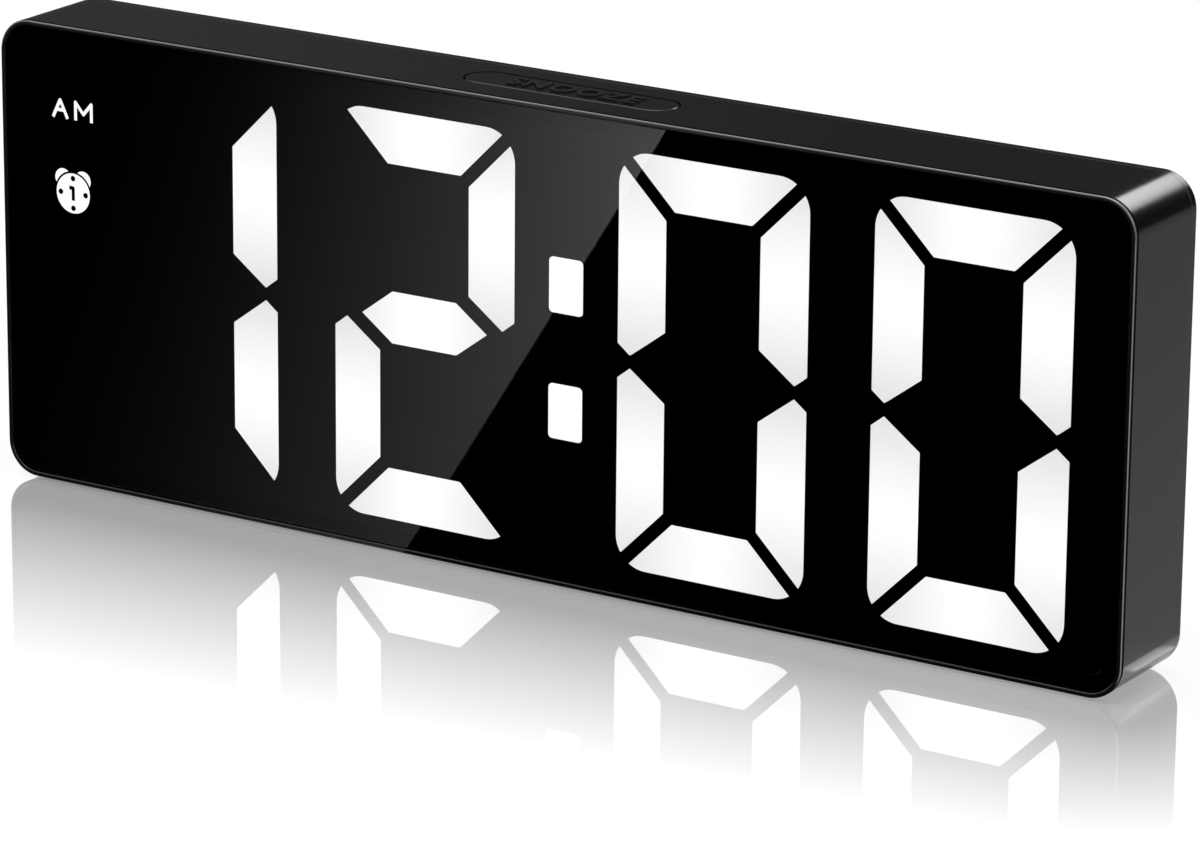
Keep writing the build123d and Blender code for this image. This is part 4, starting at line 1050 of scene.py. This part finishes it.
@dataclass(frozen=True)
class Lamp:
    """Soft rectangular lamp, in metres and watts."""

    name: str
    place: Colour
    target: Colour
    size: Point
    power: float

    def hang(self) -> None:
        """Hangs the lamp in the scene and points it at its target."""
        data = bpy.data.lights.new(self.name, "AREA")
        data.shape = "RECTANGLE"
        data.size, data.size_y = self.size
        data.energy = self.power
        lamp = bpy.data.objects.new(self.name, data)
        lamp.location = self.place
        aim = Vector(self.target) - Vector(self.place)
        lamp.rotation_euler = aim.to_track_quat("-Z", "Y").to_euler()
        bpy.context.scene.collection.objects.link(lamp)
        LOG.info("lamp %s set", self.name)


@dataclass(frozen=True)
class CameraSetting:
    """Camera of the main picture; angles in degrees, lengths in metres."""

    place: Colour = (0.4429, -0.69845, 0.2774)
    yaw: float = 32.07
    pitch: float = 17.18
    roll: float = -0.51
    focal_px: float = 6058.0
    sensor_mm: float = 36.0
    clip: Point = (0.01, 50.0)

    def set_up(self) -> None:
        """Makes the camera and gives it to the scene."""
        yaw, pitch, roll = (math.radians(a) for a in (self.yaw, self.pitch, self.roll))
        flat = math.cos(pitch)
        ahead = Vector((-math.sin(yaw) * flat, math.cos(yaw) * flat, -math.sin(pitch)))
        level = Vector((math.cos(yaw), math.sin(yaw), 0.0))
        down = ahead.cross(level)
        right = level * math.cos(roll) + down * math.sin(roll)
        up = level * math.sin(roll) - down * math.cos(roll)
        data = bpy.data.cameras.new("photo_camera")
        data.sensor_fit = "HORIZONTAL"
        data.sensor_width = self.sensor_mm
        data.lens = self.focal_px * self.sensor_mm / PHOTO_WIDTH_PX
        data.clip_start, data.clip_end = self.clip
        camera = bpy.data.objects.new("photo_camera", data)
        turn = Matrix((right, up, -ahead)).transposed()
        camera.matrix_world = Matrix.Translation(Vector(self.place)) @ turn.to_4x4()
        bpy.context.scene.collection.objects.link(camera)
        bpy.context.scene.camera = camera
        LOG.info("camera set, lens %.1f mm", data.lens)


@dataclass
class Studio:
    """White floor, soft light, cards and camera round the clock, in metres."""

    camera: CameraSetting = CameraSetting()
    floor: float = 12.0
    floor_colour: Colour = (0.28, 0.28, 0.28)
    floor_roughness: float = 0.9
    floor_lift: float = 0.72
    fade: float = 0.0638
    fade_slope: float = -0.1124
    fade_least: float = 0.0438
    mirror: float = 0.697
    mirror_slope: float = -0.668
    mirror_most: float = 0.874
    world_light: float = 0.55
    world_lift: float = 0.45
    card_half_width: float = 0.4
    card_reach: float = 0.5
    card_rise: float = 0.0003
    card_under: float = 0.003
    ramp_slope: Point = (6.972, -4.341)
    ramp_start: float = 0.723
    ramp_power: float = 2.717
    ramp_gain: float = 1.76
    edge_near: Point = (-0.0242, -0.0124)
    edge_far: Point = (-0.1195, -0.2380)
    panels: tuple[Panel, ...] = (
        Panel("top_flag", upright(-1.2, -0.02, 0.0, 0.34, 0.45), (-0.40, -0.20), (0.098, 0.040)),
        Panel("dark_flag", upright(-1.2, -0.02, 0.34, 0.80, 0.45), (-1.2, -0.02), (0.0, 0.0)),
        Panel("corner_glow", upright(-0.02, 0.31, 0.30, 0.50, 0.45), (-0.02, 0.31), (6.5, 8.5)),
        Panel("side_flag", upright(-0.02, 0.9, 0.0, 0.30, 0.45), (-0.02, 0.9), (0.01, 0.01)),
        Panel("top_box", lying(0.9, (-0.8, -0.3), (-0.8, 0.45), (-0.35, 0.45), (-0.35, -0.3)),
              (-0.8, -0.35), (2.4, 2.4)),
        Panel("side_card",
              lying(0.0004, (0.0990, -0.005), (0.6, -0.005), (0.6, 0.42), (0.0990, 0.42)),
              (0.108, 0.214), (0.50, 0.33)),
        Panel("foot_card",
              lying(0.0004, (0.0942, 0.001), (0.0990, 0.001), (0.0990, 0.013), (0.0942, 0.013)),
              (0.0942, 0.0990), (2.4, 2.0)),
        Panel("edge_card",
              lying(0.0006, (0.0945, -0.0095), (0.215, -0.235), (0.36, -0.235), (0.36, -0.004)),
              (0.0945, 0.36), (1.9, 1.9)),
    )
    lamps: tuple[Lamp, ...] = (
        Lamp("overhead_box", (-0.1, -0.1, 1.1), (0.0, 0.0, 0.0), (1.2, 0.8), 9.0),
        Lamp("right_box", (1.0, -0.4, 0.7), (0.0, 0.0, 0.03), (0.5, 0.7), 3.0),
    )

    def add_plane(
        self, name: str, corners: tuple[Colour, ...], material: bpy.types.Material,
    ) -> bpy.types.Object:
        """Makes a flat stage piece.

        Args:
            name: Name of the piece.
            corners: Its four corners in order.
            material: Its material.

        Returns:
            The piece.
        """
        mesh = bpy.data.meshes.new(name)
        mesh.from_pydata(corners, [], [tuple(range(len(corners)))])
        mesh.materials.append(material)
        piece = bpy.data.objects.new(name, mesh)
        bpy.context.scene.collection.objects.link(piece)
        return piece

    def add_card(self, name: str, corners: tuple[Colour, ...], material: bpy.types.Material) -> None:
        """Adds a flat stage piece that shows in mirrors and lenses alone.

        Args:
            name: Name of the card.
            corners: Its four corners in order.
            material: Its material.
        """
        card = self.add_plane(name, corners, material)
        card.visible_camera = False
        card.visible_diffuse = False
        card.visible_shadow = False

    def mirror_share(self, graph: Graph) -> Socket:
        """Share of the floor's mirror, which fades out away from the clock's foot.

        Args:
            graph: Graph of the floor's material.

        Returns:
            The share.
        """
        low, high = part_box("front_housing")
        half = Vector(((high.x - low.x) / 2, (high.y - low.y) / 2, 1.0))
        centre = Vector(((high.x + low.x) / 2, (high.y + low.y) / 2, 0.0))
        place = graph.geometry("Position")
        away = graph.vector("ABSOLUTE", graph.vector("SUBTRACT", place, centre))
        outside = graph.vector("MAXIMUM", graph.vector("SUBTRACT", away, half), Vector())
        length = graph.add("ShaderNodeVectorMath", operation="LENGTH")
        distance = graph.feed(length, {0: outside}).outputs["Value"]
        across = graph.split(place)["X"]
        drift = graph.math("MULTIPLY", across, self.fade_slope)
        fade = graph.math("MAXIMUM", graph.math("ADD", drift, self.fade), self.fade_least)
        near = graph.math("SUBTRACT", 1.0, graph.math("DIVIDE", distance, fade))
        near = graph.math("MINIMUM", graph.math("MAXIMUM", near, 0.0), self.mirror_most)
        lean = graph.math("MULTIPLY", across, self.mirror_slope)
        return graph.math("MULTIPLY", near, graph.math("ADD", lean, self.mirror))

    def floor_material(self) -> bpy.types.Material:
        """White floor that mirrors the clock near its foot and keeps its shadow.

        Returns:
            The material.
        """
        material, graph, shader = blank_material("studio_floor")
        share = self.mirror_share(graph)
        gloss, lift = graph.add("ShaderNodeBsdfGlossy"), graph.add("ShaderNodeEmission")
        lifted = graph.math("MULTIPLY", seen_share(graph), self.floor_lift)
        graph.feed(gloss, {"Color": WHITE, "Roughness": 0.0})
        graph.feed(lift, {"Color": WHITE, "Strength": lifted})
        graph.feed(shader, {
            "Base Color": self.floor_colour, "Roughness": self.floor_roughness,
            "Specular IOR Level": 0.0,
        })
        matt, mixed = graph.add("ShaderNodeAddShader"), graph.add("ShaderNodeMixShader")
        graph.feed(matt, {0: shader.outputs[0], 1: lift.outputs[0]})
        graph.feed(mixed, {0: share, 1: matt.outputs[0], 2: gloss.outputs[0]})
        graph.feed(graph.find("OUTPUT_MATERIAL"), {"Surface": mixed.outputs[0]})
        return material

    def card_material(self) -> bpy.types.Material:
        """Black card with a bright field that ends at a slanting edge.

        Returns:
            The material.
        """
        material, graph, _ = blank_material("studio_card")
        near, far = Vector(self.edge_near), Vector(self.edge_far)
        along = (far - near).normalized()
        out = Vector((along.y, -along.x, 0.0))
        place = graph.geometry("Position")
        from_edge = graph.vector("SUBTRACT", place, Vector((*near, 0.0)))
        inside = graph.math("GREATER_THAN", graph.dot(from_edge, out), 0.0)
        ramp = graph.dot(place, Vector((*self.ramp_slope, 0.0)))
        shade = graph.math("MAXIMUM", graph.math("ADD", ramp, self.ramp_start), 0.0)
        field = graph.math("POWER", shade, self.ramp_power)
        lit = graph.math("MULTIPLY", field, inside)
        strength = graph.math("MULTIPLY", lit, self.ramp_gain)
        show_card(graph, strength, graph.geometry("Backfacing"))
        return material

    def build_floor(self) -> None:
        """Lays the floor, the card that the lens mirrors and the cards for the case."""
        half = self.floor / 2
        corners = lying(0.0, (-half, -half), (half, -half), (half, half), (-half, half))
        self.add_plane("studio_floor", corners, self.floor_material())
        wide = self.card_half_width
        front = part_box("front_housing")[0].y
        near, far = front + self.card_under, front - self.card_reach
        corners = lying(self.card_rise, (-wide, far), (wide, far), (wide, near), (-wide, near))
        self.add_card("studio_card", corners, self.card_material())
        for panel in self.panels:
            self.add_card(panel.name, panel.corners, panel.material())
        LOG.info("floor and cards set")

    def build_world(self) -> None:
        """Sets white surroundings, of which less lights the clock than is seen."""
        world = bpy.data.worlds.new("studio_white")
        world.use_nodes = True
        bpy.context.scene.world = world
        graph = Graph(world.node_tree)
        lift = graph.math("MULTIPLY", seen_share(graph), self.world_lift)
        strength = graph.math("ADD", lift, self.world_light)
        graph.feed(graph.find("BACKGROUND"), {"Color": WHITE, "Strength": strength})
        LOG.info("world set")

    def build(self) -> None:
        """Sets up the whole studio."""
        self.build_floor()
        self.build_world()
        for lamp in self.lamps:
            lamp.hang()
        self.camera.set_up()
        bpy.context.scene.view_settings.view_transform = "Standard"


def main() -> None:
    """Builds the looks of the clock in order."""
    logging.basicConfig(level=logging.INFO, format="%(name)s: %(message)s")
    for data in (bpy.data.objects, bpy.data.lights, bpy.data.cameras):
        for item in list(data):
            data.remove(item)
    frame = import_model()
    for part in (CaseShell, DisplayFront, SnoozeBar, RearPanel, BatteryBay, CircuitParts):
        part(frame).build()
    Studio().build()


if __name__ == "__main__":
    main()
